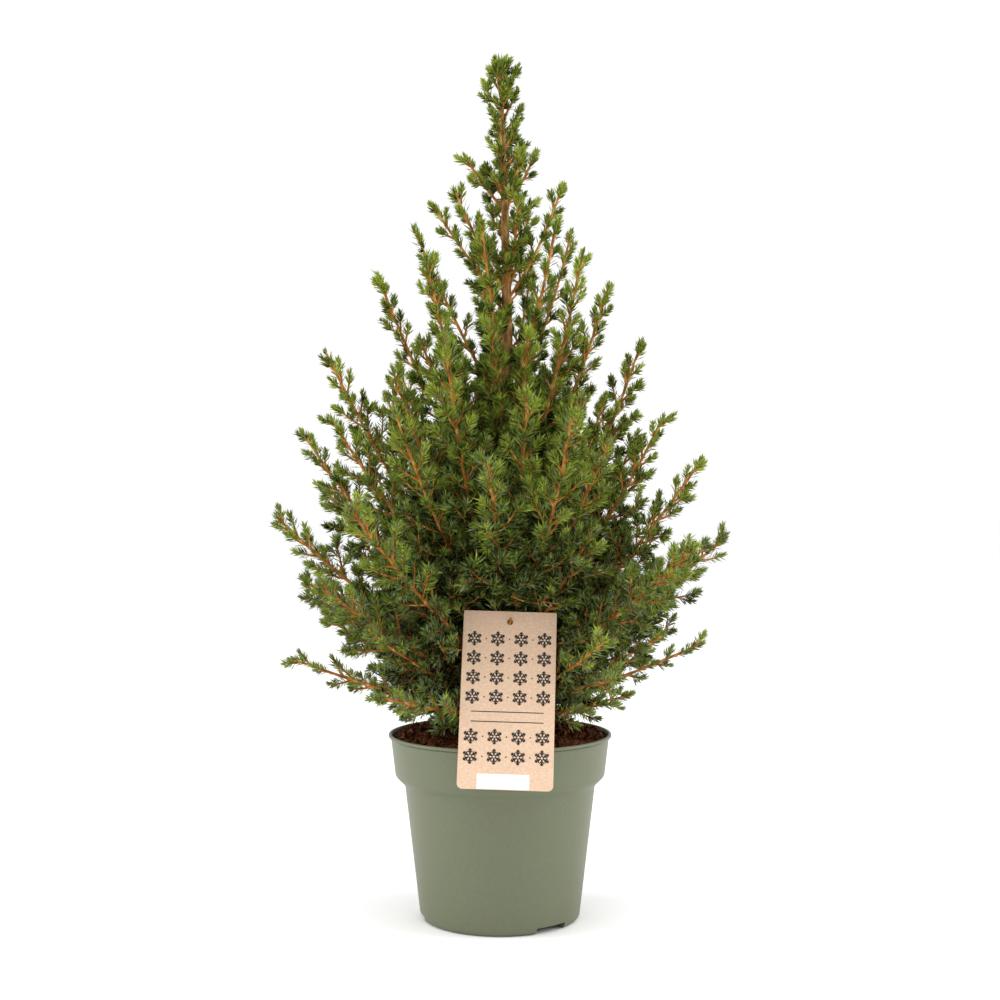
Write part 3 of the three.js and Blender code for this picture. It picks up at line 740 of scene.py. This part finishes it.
def grow_trunk_twigs(shoots):
    """Short shoots straight from the upper trunk and the leader."""
    random = seeded_random(SEEDS["trunk_twigs"])
    rise = TRUNK_TWIGS_FROM
    i = 0
    while rise < TREE_HEIGHT - TRUNK_TWIGS_END:
        share = (rise - TRUNK_TWIGS_FROM) / (TREE_HEIGHT - TRUNK_TWIGS_FROM)
        foot = trunk_point(SOIL_TOP + rise)
        around = i * GOLDEN_ANGLE + random()
        lean = math.radians(mix(*TRUNK_TWIG_LEAN, share) + TRUNK_TWIG_LEAN_SPREAD * (random() - 0.5))
        length = TRUNK_TWIG_SHORTEST + TRUNK_TWIG_GROWTH * (TREE_HEIGHT - rise)
        length = min(length, mix(*TRUNK_TWIG_LONGEST, share)) * mix(*TRUNK_TWIG_SPREAD, random())
        side = level_direction(math.degrees(around))
        start = UP * math.cos(lean) + side * math.sin(lean)
        points = curved_shoot(foot, start, start + TRUNK_TWIG_LIFT * UP, length)
        radii = np.linspace(*TWIG_RADII, len(points))
        outer = mix(*TRUNK_TWIG_OUTER, share)
        add_shoot(shoots, points, radii, TWIG, outer, TRUNK_TWIG_BARE)
        if length > SIDE_TWIG_LEAST:
            grow_side_twigs(shoots, points, length, outer, random)
        step = mix(*TRUNK_TWIG_SPACING, share**TRUNK_TWIG_CROWDING)
        rise += step * mix(*TRUNK_TWIG_STEP_SPREAD, random())
        i += 1


def leader_shoot(shoots):
    begin = TREE_HEIGHT - LEADER_LENGTH - LEADER["below"]
    rises = np.linspace(begin, TREE_HEIGHT - LEADER["end"], LEADER["points"])
    points = np.array([trunk_point(SOIL_TOP + rise) for rise in rises])
    radii = [max(LEADER["radius"], trunk_radius(height)) for height in points[:, 2]]
    add_shoot(shoots, points, radii, BOUGH, LEADER["outer"], club=LEADER["club"], needle=LEADER["needle"])


# Needles


def needles_along(shoot, generator):
    """Feet, directions, lengths, half widths and rolls of a shoot's needles, and how far from its tip."""
    points = shoot["points"]
    steps = np.linalg.norm(np.diff(points, axis=0), axis=1)
    run = np.concatenate([[0], np.cumsum(steps)])
    length = run[-1]
    begin = shoot["bare"] * length + NEEDLES_FROM
    high = min(1, (points[0, 2] - SOIL_TOP) / TREE_HEIGHT)
    density = mix(*NEEDLES_PER_MM, high) * shoot["needle"]
    if shoot["order"] == BOUGH:
        density *= mix(*BOUGH_NEEDLE_SHARE, high)
    count = max(LEAST_NEEDLES, int((length - begin) * density))
    at = np.sort(begin + (length - begin) * generator.random(count))
    around = np.arange(count) * GOLDEN_ANGLE + generator.normal(0, NEEDLE_TURN_SPREAD, count)
    near_tip = np.clip(1 - (length - at) / NEEDLE_TIP_REACH, 0, 1)
    lean = mix(*NEEDLE_LEAN, near_tip) * mix(1, NEEDLE_LEAN_AT_TOP, high)
    lean = np.radians(lean + generator.normal(0, NEEDLE_LEAN_SPREAD, count))
    size = shoot["needle"] * mix(*NEEDLE_LENGTH, high)
    size = size * mix(*NEEDLE_SPREAD, generator.random(count)) * mix(1, NEEDLE_SHARE_AT_TIP, near_tip)
    radii = NEEDLE_RADIUS * mix(*NEEDLE_RADIUS_SPREAD, generator.random(count))
    if shoot["whole"]:
        depth = generator.random(BUD_NEEDLES)
        bud_lean = np.radians(mix(*BUD_LEAN, depth) + generator.normal(0, BUD_LEAN_SPREAD, BUD_NEEDLES))
        bud_size = mix(*BUD_SIZE, depth) * mix(*BUD_SPREAD, generator.random(BUD_NEEDLES))
        at = np.concatenate([at, length - BUD_DEPTH * shoot["club"] * depth])
        around = np.concatenate([around, generator.random(BUD_NEEDLES) * 2 * math.pi])
        lean = np.concatenate([lean, bud_lean])
        size = np.concatenate([size, bud_size * shoot["club"]])
        radii = np.concatenate([radii, np.full(BUD_NEEDLES, BUD_NEEDLE_RADIUS)])
    feet, tangent = (
        np.stack([np.interp(at, run, column) for column in rows.T], axis=1)
        for rows in (points, tangents_of(points))
    )
    tangent = unit(tangent)
    side = side_directions(tangent, around)
    direction = tangent * np.cos(lean)[:, None] + side * np.sin(lean)[:, None]
    direction = unit(direction + NEEDLE_RISE * UP)
    rolls = 2 * math.pi * generator.random(len(size))
    return feet, direction, size, radii, rolls, length - at


def tone_of(shoot, from_tip, generator):
    """The number of each needle's tone: brighter towards the crown's outside and the shoot's tip, with
    painted shade inside the crown and painted light on its outside and top.
    """
    height = (shoot["points"][0, 2] - SOIL_TOP) / TREE_HEIGHT
    # Painted shade and light: the crown's inside gets the dark tones, its outside and top the bright ones.
    base = mix(mix(*TONE_INSIDE, height), mix(*TONE_OUTSIDE, height), shoot["outer"])
    base += generator.normal(0, TONE_SHOOT_SPREAD)
    if shoot["order"] == BOUGH:
        base -= TONE_ON_BOUGH
    base = max(base, mix(*TONE_FLOOR, height)) + max(0, TONE_PALE_UNTIL - height)
    if shoot["whole"]:
        base = base + TONE_AT_TIP * np.clip(1 - from_tip / TONE_TIP_REACH, 0, 1)
    tone = base + generator.normal(0, TONE_NEEDLE_SPREAD, len(from_tip))
    tone = np.clip(np.round(tone), 0, BRIGHTEST).astype(int)
    # The greyer silver tone, partly bloom and partly painted sheen, goes among the lower crown's needles.
    silver = generator.random(len(tone)) < SILVER_SHARE * (1 - height / SILVER_UNTIL)
    return np.where(silver & (tone > 0), SILVER, tone)


def needle_mesh(feet, directions, sizes, radii, rolls):
    """A slim leaf folded along its middle for each needle: four corners and two faces."""
    side = side_directions(directions, rolls)
    ridge = np.cross(directions, side)
    belly = feet + directions * (NEEDLE_BELLY * sizes)[:, None] - ridge * (NEEDLE_FOLD * radii)[:, None]
    corners = [
        feet,
        belly + side * radii[:, None],
        feet + directions * sizes[:, None],
        belly - side * radii[:, None],
    ]
    vertices = np.stack(corners, axis=1).reshape(-1, 3)
    pattern = np.array([[0, 1, 2], [0, 2, 3]])
    faces = (np.arange(len(feet)) * len(corners))[:, None, None] + pattern[None]
    return vertices, faces.reshape(-1, 3)


# Materials


def srgb(red, green, blue):
    """A screen colour from 0 to 255 as linear light."""
    values = np.array([red, green, blue]) / 255
    linear = np.where(values <= 0.04045, values / 12.92, ((values + 0.055) / 1.055) ** 2.4)
    return (*linear.tolist(), 1.0)


def new_material(name, colour, roughness, specular):
    material = bpy.data.materials.new(name)
    material.use_nodes = True
    shader = material.node_tree.nodes["Principled BSDF"]
    shader.inputs["Base Color"].default_value = colour
    shader.inputs["Roughness"].default_value = roughness
    shader.inputs["Specular IOR Level"].default_value = specular
    return material


def add_node(tree, kind, output, **sockets):
    """A new node's output; each socket is set to a number or linked to another output."""
    node = tree.nodes.new(kind)
    for name, value in sockets.items():
        if isinstance(value, bpy.types.NodeSocket):
            tree.links.new(value, node.inputs[name])
        else:
            node.inputs[name].default_value = value
    return node.outputs[output]


def noisy_material(name, stops, surface, noise, bump=None, stretch=(1, 1, 1)):
    """A ramp of colours and a bump, both from one noise in the object's own coordinates."""
    stops = [(position, srgb(*colour)) for position, colour in stops]
    material = new_material(name, stops[0][1], *surface)
    tree = material.node_tree
    shader = tree.nodes["Principled BSDF"]
    scale, detail = noise
    place = add_node(tree, "ShaderNodeTexCoord", "Object")
    place = add_node(tree, "ShaderNodeMapping", "Vector", Vector=place, Scale=stretch)
    factor = add_node(tree, "ShaderNodeTexNoise", "Fac", Vector=place, Scale=scale, Detail=detail)
    colour = add_node(tree, "ShaderNodeValToRGB", "Color", Fac=factor)
    elements = colour.node.color_ramp.elements
    while len(elements) < len(stops):
        elements.new(0.5)
    for element, (position, shade) in zip(elements, stops):
        element.position = position
        element.color = shade
    tree.links.new(colour, shader.inputs["Base Color"])
    if bump:
        strength, depth = bump
        relief = add_node(tree, "ShaderNodeBump", "Normal", Height=factor, Strength=strength, Distance=depth)
        tree.links.new(relief, shader.inputs["Normal"])
    return material


def look(name):
    return noisy_material(name, **LOOKS[name])


def needle_material(tone):
    colour = np.array(NEEDLE_COLOURS[tone])
    stops = [(0.3, colour * NEEDLE_DARK), (0.7, colour * NEEDLE_LIGHT)]
    return noisy_material(f"needle_{tone}", stops, **NEEDLE_LOOK)


# The pot, the soil and the label


def profile_line(low, high, shares):
    """Points of a profile on the line from one point to another."""
    return [(mix(low[0], high[0], share), mix(low[1], high[1], share)) for share in shares]


def pot_foot():
    """The rounding from the pot's underside to its body."""
    profile = []
    for angle in np.linspace(0, math.pi / 2, POT_STEPS["foot"] + 1):
        radius = BASE_RADIUS - BASE_ROUNDING * (1 - math.sin(angle))
        profile.append((radius, BASE_ROUNDING * (1 - math.cos(angle))))
    return profile


def pot_side():
    """Radius and height up the pot's body, shoulder and collar."""
    body = np.linspace(0, 1, POT_STEPS["body"] + 1)[1:-1]
    profile = profile_line((BASE_RADIUS, BASE_ROUNDING), BODY_TOP, body)
    for share in np.linspace(0, 1, POT_STEPS["shoulder"] + 1):
        eased = share * share * (3 - 2 * share)
        radius = mix(BODY_TOP[0], COLLAR_BOTTOM[0], eased)
        profile.append((radius, mix(BODY_TOP[1], COLLAR_BOTTOM[1], share)))
    collar = np.linspace(0, 1, POT_STEPS["collar"] + 1)[1:]
    return profile + profile_line(COLLAR_BOTTOM, COLLAR_TOP, collar)


def cut_notches(pot):
    """The three drainage notches in the foot."""
    depth = 2 * (BASE_RADIUS - NOTCH["from"])
    for i in range(NOTCH["count"]):
        angle = math.radians(NOTCH["first_degrees"] + 360 * i / NOTCH["count"])
        bpy.ops.mesh.primitive_cube_add(size=1)
        cutter = bpy.context.object
        reach = (NOTCH["from"] + depth / 2) * MM
        cutter.location = (reach * math.cos(angle), reach * math.sin(angle), 0)
        cutter.rotation_euler = (0, 0, angle)
        cutter.scale = (depth * MM, NOTCH["width"] * MM, 2 * NOTCH["height"] * MM)
        modifier = pot.modifiers.new("notch", "BOOLEAN")
        modifier.operation = "DIFFERENCE"
        modifier.solver = "EXACT"
        modifier.object = cutter
        bpy.context.view_layer.objects.active = pot
        bpy.ops.object.modifier_apply(modifier=modifier.name)
        bpy.data.objects.remove(cutter, do_unlink=True)


def make_pot(material):
    side = pot_side()
    lip = [
        (COLLAR_TOP[0] - 0.5, COLLAR_TOP[1] + 0.2),
        (RIM_RADIUS - 0.5, COLLAR_TOP[1] + 0.7),
        (RIM_RADIUS, COLLAR_TOP[1] + 1.2),
        (RIM_RADIUS, POT_HEIGHT - 0.8),
        (RIM_RADIUS - 0.4, POT_HEIGHT - 0.2),
        (RIM_RADIUS - 1, POT_HEIGHT),
        (RIM_RADIUS - 2, POT_HEIGHT - 0.1),
        (RIM_RADIUS - 2.4, POT_HEIGHT - 0.6),
    ]
    inside = [(radius - POT_WALL, height) for radius, height in reversed(side)]
    underside = [(radius, 0) for radius in POT_MIDDLE]
    floor = [(radius, POT_FLOOR) for radius in (BASE_RADIUS - BASE_ROUNDING, *reversed(POT_MIDDLE))]
    vertices, quads = lathe([*underside, *pot_foot(), *side, *lip, *inside, *floor], POT_SEGMENTS)
    pot = add_mesh("pot_shell", vertices, quads, material)
    cut_notches(pot)
    set_sharp(pot, POT_CREASE)
    return pot


def set_sharp(piece, degrees):
    """Smooth shading that keeps edges sharper than an angle crisp."""
    bpy.context.view_layer.objects.active = piece
    piece.select_set(True)
    bpy.ops.object.shade_smooth_by_angle(angle=math.radians(degrees))
    piece.select_set(False)


def soil_height(x, y):
    radius = np.hypot(x, y)
    share = np.clip((radius - SOIL_FLAT_RADIUS) / (RIM_RADIUS - POT_WALL - SOIL_FLAT_RADIUS), 0, None)
    long, short, shift = LUMP_WAVE["long"], LUMP_WAVE["short"], LUMP_WAVE["shift"]
    lumps = np.sin(long * x + shift) * np.cos(long * y) + np.sin(short * (x - y)) / 2
    drop = SOIL_EDGE_DROP * share**SOIL_EDGE_POWER
    return SOIL_TOP - drop + SOIL_LUMP * np.minimum(1, 3 * share) * lumps


def make_soil(material):
    radii = np.linspace(SOIL_MARGINS["middle"], COLLAR_TOP[0] - POT_WALL - SOIL_MARGINS["wall"], SOIL_RINGS)
    vertices, quads = lathe([(radius, 0) for radius in radii], SOIL_SEGMENTS)
    grain = layered_noise(vertices, SOIL_GRAIN)
    vertices[:, 2] = soil_height(vertices[:, 0], vertices[:, 1]) + grain - SOIL_SINK
    return add_mesh("soil_surface", vertices, quads[:, ::-1], material)


def icosahedron():
    """Twelve corners at a distance of 1 and twenty faces that look outwards."""
    golden = (1 + math.sqrt(5)) / 2
    corners = np.array([
        (-1, golden, 0), (1, golden, 0), (-1, -golden, 0), (1, -golden, 0),
        (0, -1, golden), (0, 1, golden), (0, -1, -golden), (0, 1, -golden),
        (golden, 0, -1), (golden, 0, 1), (-golden, 0, -1), (-golden, 0, 1),
    ]) / math.hypot(1, golden)
    edge = 2 / math.hypot(1, golden)
    near = np.linalg.norm(corners[:, None] - corners[None], axis=-1) < 1.01 * edge
    faces = []
    for a, b, c in itertools.combinations(range(len(corners)), 3):
        if near[a, b] and near[b, c] and near[a, c]:
            outward = np.dot(np.cross(corners[b] - corners[a], corners[c] - corners[a]), corners[a])
            faces.append((a, b, c) if outward > 0 else (a, c, b))
    return corners, np.array(faces)


def make_crumbs(material):
    """Loose crumbs of peat and bark on the soil."""
    generator = np.random.default_rng(SEEDS["crumbs"])
    corners, faces = icosahedron()
    radius = np.sqrt(generator.random(CRUMBS)) * (COLLAR_TOP[0] - POT_WALL - CRUMB_WALL_GAP)
    angle = generator.random(CRUMBS) * 2 * math.pi
    size = mix(*CRUMB_SIZE, generator.random(CRUMBS) ** CRUMB_SIZE_POWER)
    keep = radius > CRUMB_TRUNK_GAP + size
    radius, angle, size = radius[keep], angle[keep], size[keep]
    x, y = radius * np.cos(angle), radius * np.sin(angle)
    centre = np.stack([x, y, soil_height(x, y) + CRUMB_RISE * size], axis=1)
    stretch = mix(*CRUMB_STRETCH, generator.random((len(x), 1, 3)))
    jitter = 1 + CRUMB_JITTER * generator.normal(size=(len(x), len(corners), 1))
    vertices = centre[:, None] + corners[None] * stretch * jitter * size[:, None, None]
    starts = (np.arange(len(x)) * len(corners))[:, None, None]
    faces = (starts + faces[None]).reshape(-1, 3)
    return add_mesh("soil_crumbs", vertices.reshape(-1, 3), faces, material, False)


def on_tag(across_mm, up_mm, out_mm):
    """A place on the label as a point in space."""
    offset = TAG_FRAME["right"] * across_mm + TAG_FRAME["up"] * up_mm + TAG_FRAME["out"] * out_mm
    return TAG_FRAME["centre"] + offset


def arc(x, y, radius, first, last, count):
    angles = np.radians(np.linspace(first, last, count))
    return [(x + radius * math.cos(a), y + radius * math.sin(a)) for a in angles]


def sheet_mesh(name, loops, thickness, material):
    """A flat plate with holes, from closed loops in the label's plane."""
    curve = bpy.data.curves.new(name, "CURVE")
    curve.dimensions = "2D"
    curve.fill_mode = "BOTH"
    curve.extrude = thickness / 2
    for loop in loops:
        spline = curve.splines.new("POLY")
        spline.points.add(len(loop) - 1)
        for point, (x, y) in zip(spline.points, loop):
            point.co = (x, y, 0, 1)
        spline.use_cyclic_u = True
    shape = add_object(name, curve)
    bpy.context.view_layer.update()
    mesh = bpy.data.meshes.new_from_object(shape.evaluated_get(bpy.context.evaluated_depsgraph_get()))
    bpy.data.objects.remove(shape, do_unlink=True)
    for vertex in mesh.vertices:
        vertex.co = (on_tag(*vertex.co) * MM).tolist()
    mesh.materials.clear()
    mesh.materials.append(material)
    mesh.name = name
    return add_object(name, mesh)


def tag_outline():
    """The label's outline and its hole as closed loops."""
    outline = []
    for i, (x, y, radius, count) in enumerate(TAG_CORNERS):
        first = 90 * (i - 1)
        place = (x * (HALF_WIDTH - radius), y * (HALF_HEIGHT - radius))
        outline += arc(*place, radius, first, first + 90, count)
    hole = arc(0, HALF_HEIGHT - TAG_HOLE["below"], TAG_HOLE["radius"], 360, 15, 24)
    return outline, hole


def bar(x, y, degrees, length, width):
    """A printed bar from a point, as a closed loop."""
    along = level_direction(degrees)[:2]
    side = np.array([-along[1], along[0]]) * width / 2
    start = np.array([x, y])
    end = start + along * length
    return [tuple(start - side), tuple(end - side), tuple(end + side), tuple(start + side)]


def snow_crystal(x, y):
    """Bars of a plain six-armed snow crystal, each arm with two pairs of branches."""
    loops = []
    centre = np.array([x, y])
    for arm in range(CRYSTAL["arms"]):
        degrees = 360 / CRYSTAL["arms"] * arm + CRYSTAL["first_degrees"]
        along = level_direction(degrees)[:2]
        start = centre + CRYSTAL["hub"] * along
        loops.append(bar(*start, degrees, CRYSTAL["arm"] - CRYSTAL["hub"], CRYSTAL["width"]))
        for share in CRYSTAL["branches_at"]:
            place = centre + share * CRYSTAL["arm"] * along
            length = CRYSTAL["branch"] * (CRYSTAL["taper"] - share)
            for turn in (-CRYSTAL["branch_degrees"], CRYSTAL["branch_degrees"]):
                loops.append(bar(*place, degrees + turn, length, CRYSTAL["branch_width"]))
    return loops


def bars_mesh(name, loops, material):
    """Each printed bar as a thin raised plate on the label's face."""
    base = TAG["thickness"] / 2
    quads = np.array([(4, 5, 6, 7)] + [(i, (i + 1) % 4, (i + 1) % 4 + 4, i + 4) for i in range(4)])
    parts = []
    for loop in loops:
        low = [on_tag(x, y, base) for x, y in loop]
        high = [on_tag(x, y, base + PRINT["height"]) for x, y in loop]
        parts.append((np.array(low + high), quads))
    return add_parts(name, parts, material, False)


def make_print(ink, white):
    """A plain grid of snow crystals with dots between, two rules, and a bare strip at the foot."""
    columns = PRINT["columns"]
    step = TAG["width"] / columns
    dot = PRINT["dot"]
    heights = [HALF_HEIGHT - PRINT["top"] - row * PRINT["step"] for row in range(PRINT["rows"])]
    band = heights.pop(PRINT["row_of_rules"])
    loops = []
    for y in heights:
        for column in range(columns):
            x = -HALF_WIDTH + step * (column + 0.5)
            loops += snow_crystal(x, y)
            if column + 1 < columns:
                loops.append(bar(x + (step - dot) / 2, y, 0, dot, dot))
    rule = TAG["width"] - 2 * RULE["inset"]
    for offset in (-RULE["offset"], RULE["offset"]):
        loops.append(bar(-HALF_WIDTH + RULE["inset"], band + offset, 0, rule, RULE["width"]))
    printed = bars_mesh("label_print", loops, ink)
    strip = bar(STRIP["left"], -HALF_HEIGHT + STRIP["above_foot"], 0, STRIP["length"], STRIP["width"])
    return printed, bars_mesh("label_strip", [strip], white)


# Wood


def bark_relief(places):
    """Flaking bark: low ridges drawn out along the stem, with finer scales over them."""
    return layered_noise(places * np.array(BARK_DRAWN), BARK_GRAIN)


def make_trunk(material):
    rises = np.concatenate([np.linspace(*rows) for rows in TRUNK_ROWS])
    points = np.array([trunk_point(SOIL_TOP + rise) for rise in rises])
    radii = np.array([max(TRUNK_LEAST_RADIUS, trunk_radius(height)) for height in points[:, 2]])
    angles = np.arange(TRUNK_SIDES) * 2 * math.pi / TRUNK_SIDES
    outward = np.stack([*circle(TRUNK_SIDES), np.zeros(TRUNK_SIDES)], axis=1)
    depth = SPURS["depth"] * np.exp(-rises / SPURS["height"])
    spurs = 1 + depth[:, None] * np.cos(SPURS["count"] * angles + SPURS["turn"])
    reach = radii[:, None] * spurs
    places = points[:, None] + outward * reach[..., None]
    fade = np.clip(radii / BARK_FULL_RADIUS, BARK_LEAST_SHARE, 1)[:, None]
    relief = bark_relief(places.reshape(-1, 3)).reshape(reach.shape) * fade
    places = places + outward * relief[..., None]
    return add_mesh("trunk_bark", places.reshape(-1, 3), ring_quads(len(points), TRUNK_SIDES), material)


def make_boughs(limbs, material):
    parts = [tube(*limb, BOUGH_SIDES, BOUGH_BARK_SHARE) for limb in limbs]
    return add_parts("bough_bark", parts, material)


def make_twigs(shoots, material):
    twigs = [shoot for shoot in shoots if shoot["order"] != BOUGH]
    parts = [tube(twig["points"], twig["radii"], TWIG_SIDES) for twig in twigs]
    return add_parts("twigs", parts, material)


def make_label_twig(material):
    """The twig from the trunk through the label's hole."""
    hole = on_tag(0, HALF_HEIGHT - TAG_HOLE["below"], 0)
    foot = trunk_point(SOIL_TOP + TAG_TWIG["foot"])
    end = hole + unit(hole - foot) * TAG_TWIG["past"]
    points = np.array([mix(foot, end, share) for share in np.linspace(0, 1, TAG_TWIG["points"])])
    radii = np.linspace(TAG_TWIG["radius"], TAG_TWIG["end_radius"], len(points))
    radii[-1] = TAG_TWIG["tip_radius"]
    vertices, faces = tube(points, radii, BOUGH_SIDES, LABEL_TWIG_BARK_SHARE)
    return add_mesh("label_twig_bark", vertices, faces, material)


def make_needles(shoots):
    """All needles, joined into pieces of one tone each."""
    generator = np.random.default_rng(SEEDS["needles"])
    batches = {name: [] for name in TONES}
    for shoot in shoots:
        *leaves, from_tip = needles_along(shoot, generator)
        tones = tone_of(shoot, from_tip, generator)
        feet, directions, sizes = leaves[:3]
        free = is_free(feet + directions * sizes[:, None])
        for tone, name in enumerate(TONES):
            chosen = free & (tones == tone)
            if chosen.any():
                batches[name].append([values[chosen] for values in leaves])
    pieces = []
    for name, batch in batches.items():
        leaves = [np.concatenate(values) for values in zip(*batch)]
        material = needle_material(name)
        for number, start in enumerate(range(0, len(leaves[0]), NEEDLES_PER_PIECE), 1):
            vertices, faces = needle_mesh(*(values[start:start + NEEDLES_PER_PIECE] for values in leaves))
            pieces.append(add_mesh(f"needles_{name}_{number}", vertices, faces, material))
    return pieces


# Stage, lights and camera


def make_stage():
    bpy.ops.mesh.primitive_plane_add(size=FLOOR_SIZE)
    floor = bpy.context.object
    floor.name = "floor"
    floor.data.materials.append(new_material("pale_floor", FLOOR_COLOUR, 1.0, 0.5))
    world = bpy.data.worlds.new("studio")
    bpy.context.scene.world = world
    world.use_nodes = True
    background = world.node_tree.nodes["Background"]
    background.inputs["Color"].default_value = (1, 1, 1, 1)
    background.inputs["Strength"].default_value = WORLD_STRENGTH


def add_light(name, place, aim, size, power):
    light = bpy.data.lights.new(name, "AREA")
    light.shape = "SQUARE"
    light.size = size
    light.energy = power
    lamp = add_object(name, light)
    lamp.location = place
    lamp.rotation_euler = (Vector(aim) - Vector(place)).to_track_quat("-Z", "Y").to_euler()


def make_camera():
    camera = bpy.data.cameras.new("camera")
    camera.lens = CAMERA_LENS
    camera.sensor_width = SENSOR_WIDTH
    viewer = add_object("camera", camera)
    viewer.location = (0, -CAMERA_DISTANCE * MM, CAMERA_HEIGHT * MM)
    viewer.rotation_euler = (math.radians(90), 0, 0)
    bpy.context.scene.camera = viewer
    bpy.context.scene.view_settings.view_transform = "Standard"


def settle(piece, slot, *nodes):
    """Rides a piece on the plant's body and hides the model's nodes that it stands for; the slot is not
    used.
    """
    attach(piece, "root")
    if nodes:
        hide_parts(*nodes)


def main():
    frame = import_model()
    nodes = frame["nodes"]
    bough_nodes = [name for name in nodes if name.startswith("bough")]
    spray_nodes = [name for name in nodes if name.startswith("spray")]
    make_camera()
    for name, light in LIGHTS.items():
        add_light(name, *light)
    make_stage()

    settle(make_pot(look("sage_plastic")), "pot", "pot")
    peat = look("peat")
    settle(make_soil(peat), "soil", "soil")
    settle(make_crumbs(peat), "soil")

    shoots, limbs = [], []
    for line, ring, seed in source_boughs() + fill_boughs() + skirt_boughs():
        grow_bough(shoots, limbs, line, ring, seed)
    grow_trunk_twigs(shoots)
    leader_shoot(shoots)

    shoot_bark = look("shoot_bark")
    settle(make_trunk(look("bark")), "bark", "trunk")
    settle(make_boughs(limbs, shoot_bark), "shoot_bark", *bough_nodes)
    settle(make_twigs(shoots, shoot_bark), "shoot_bark")
    settle(make_label_twig(shoot_bark), "shoot_bark", "label_twig")
    needles = make_needles(shoots)
    settle(needles[0], "needles", *spray_nodes)
    for piece in needles[1:]:
        settle(piece, "needles")

    card = sheet_mesh("label_card", tag_outline(), TAG["thickness"], look("kraft_card"))
    settle(card, "card", "label")
    for piece in make_print(look("black_ink"), look("white_strip")):
        settle(piece, "card")


main()
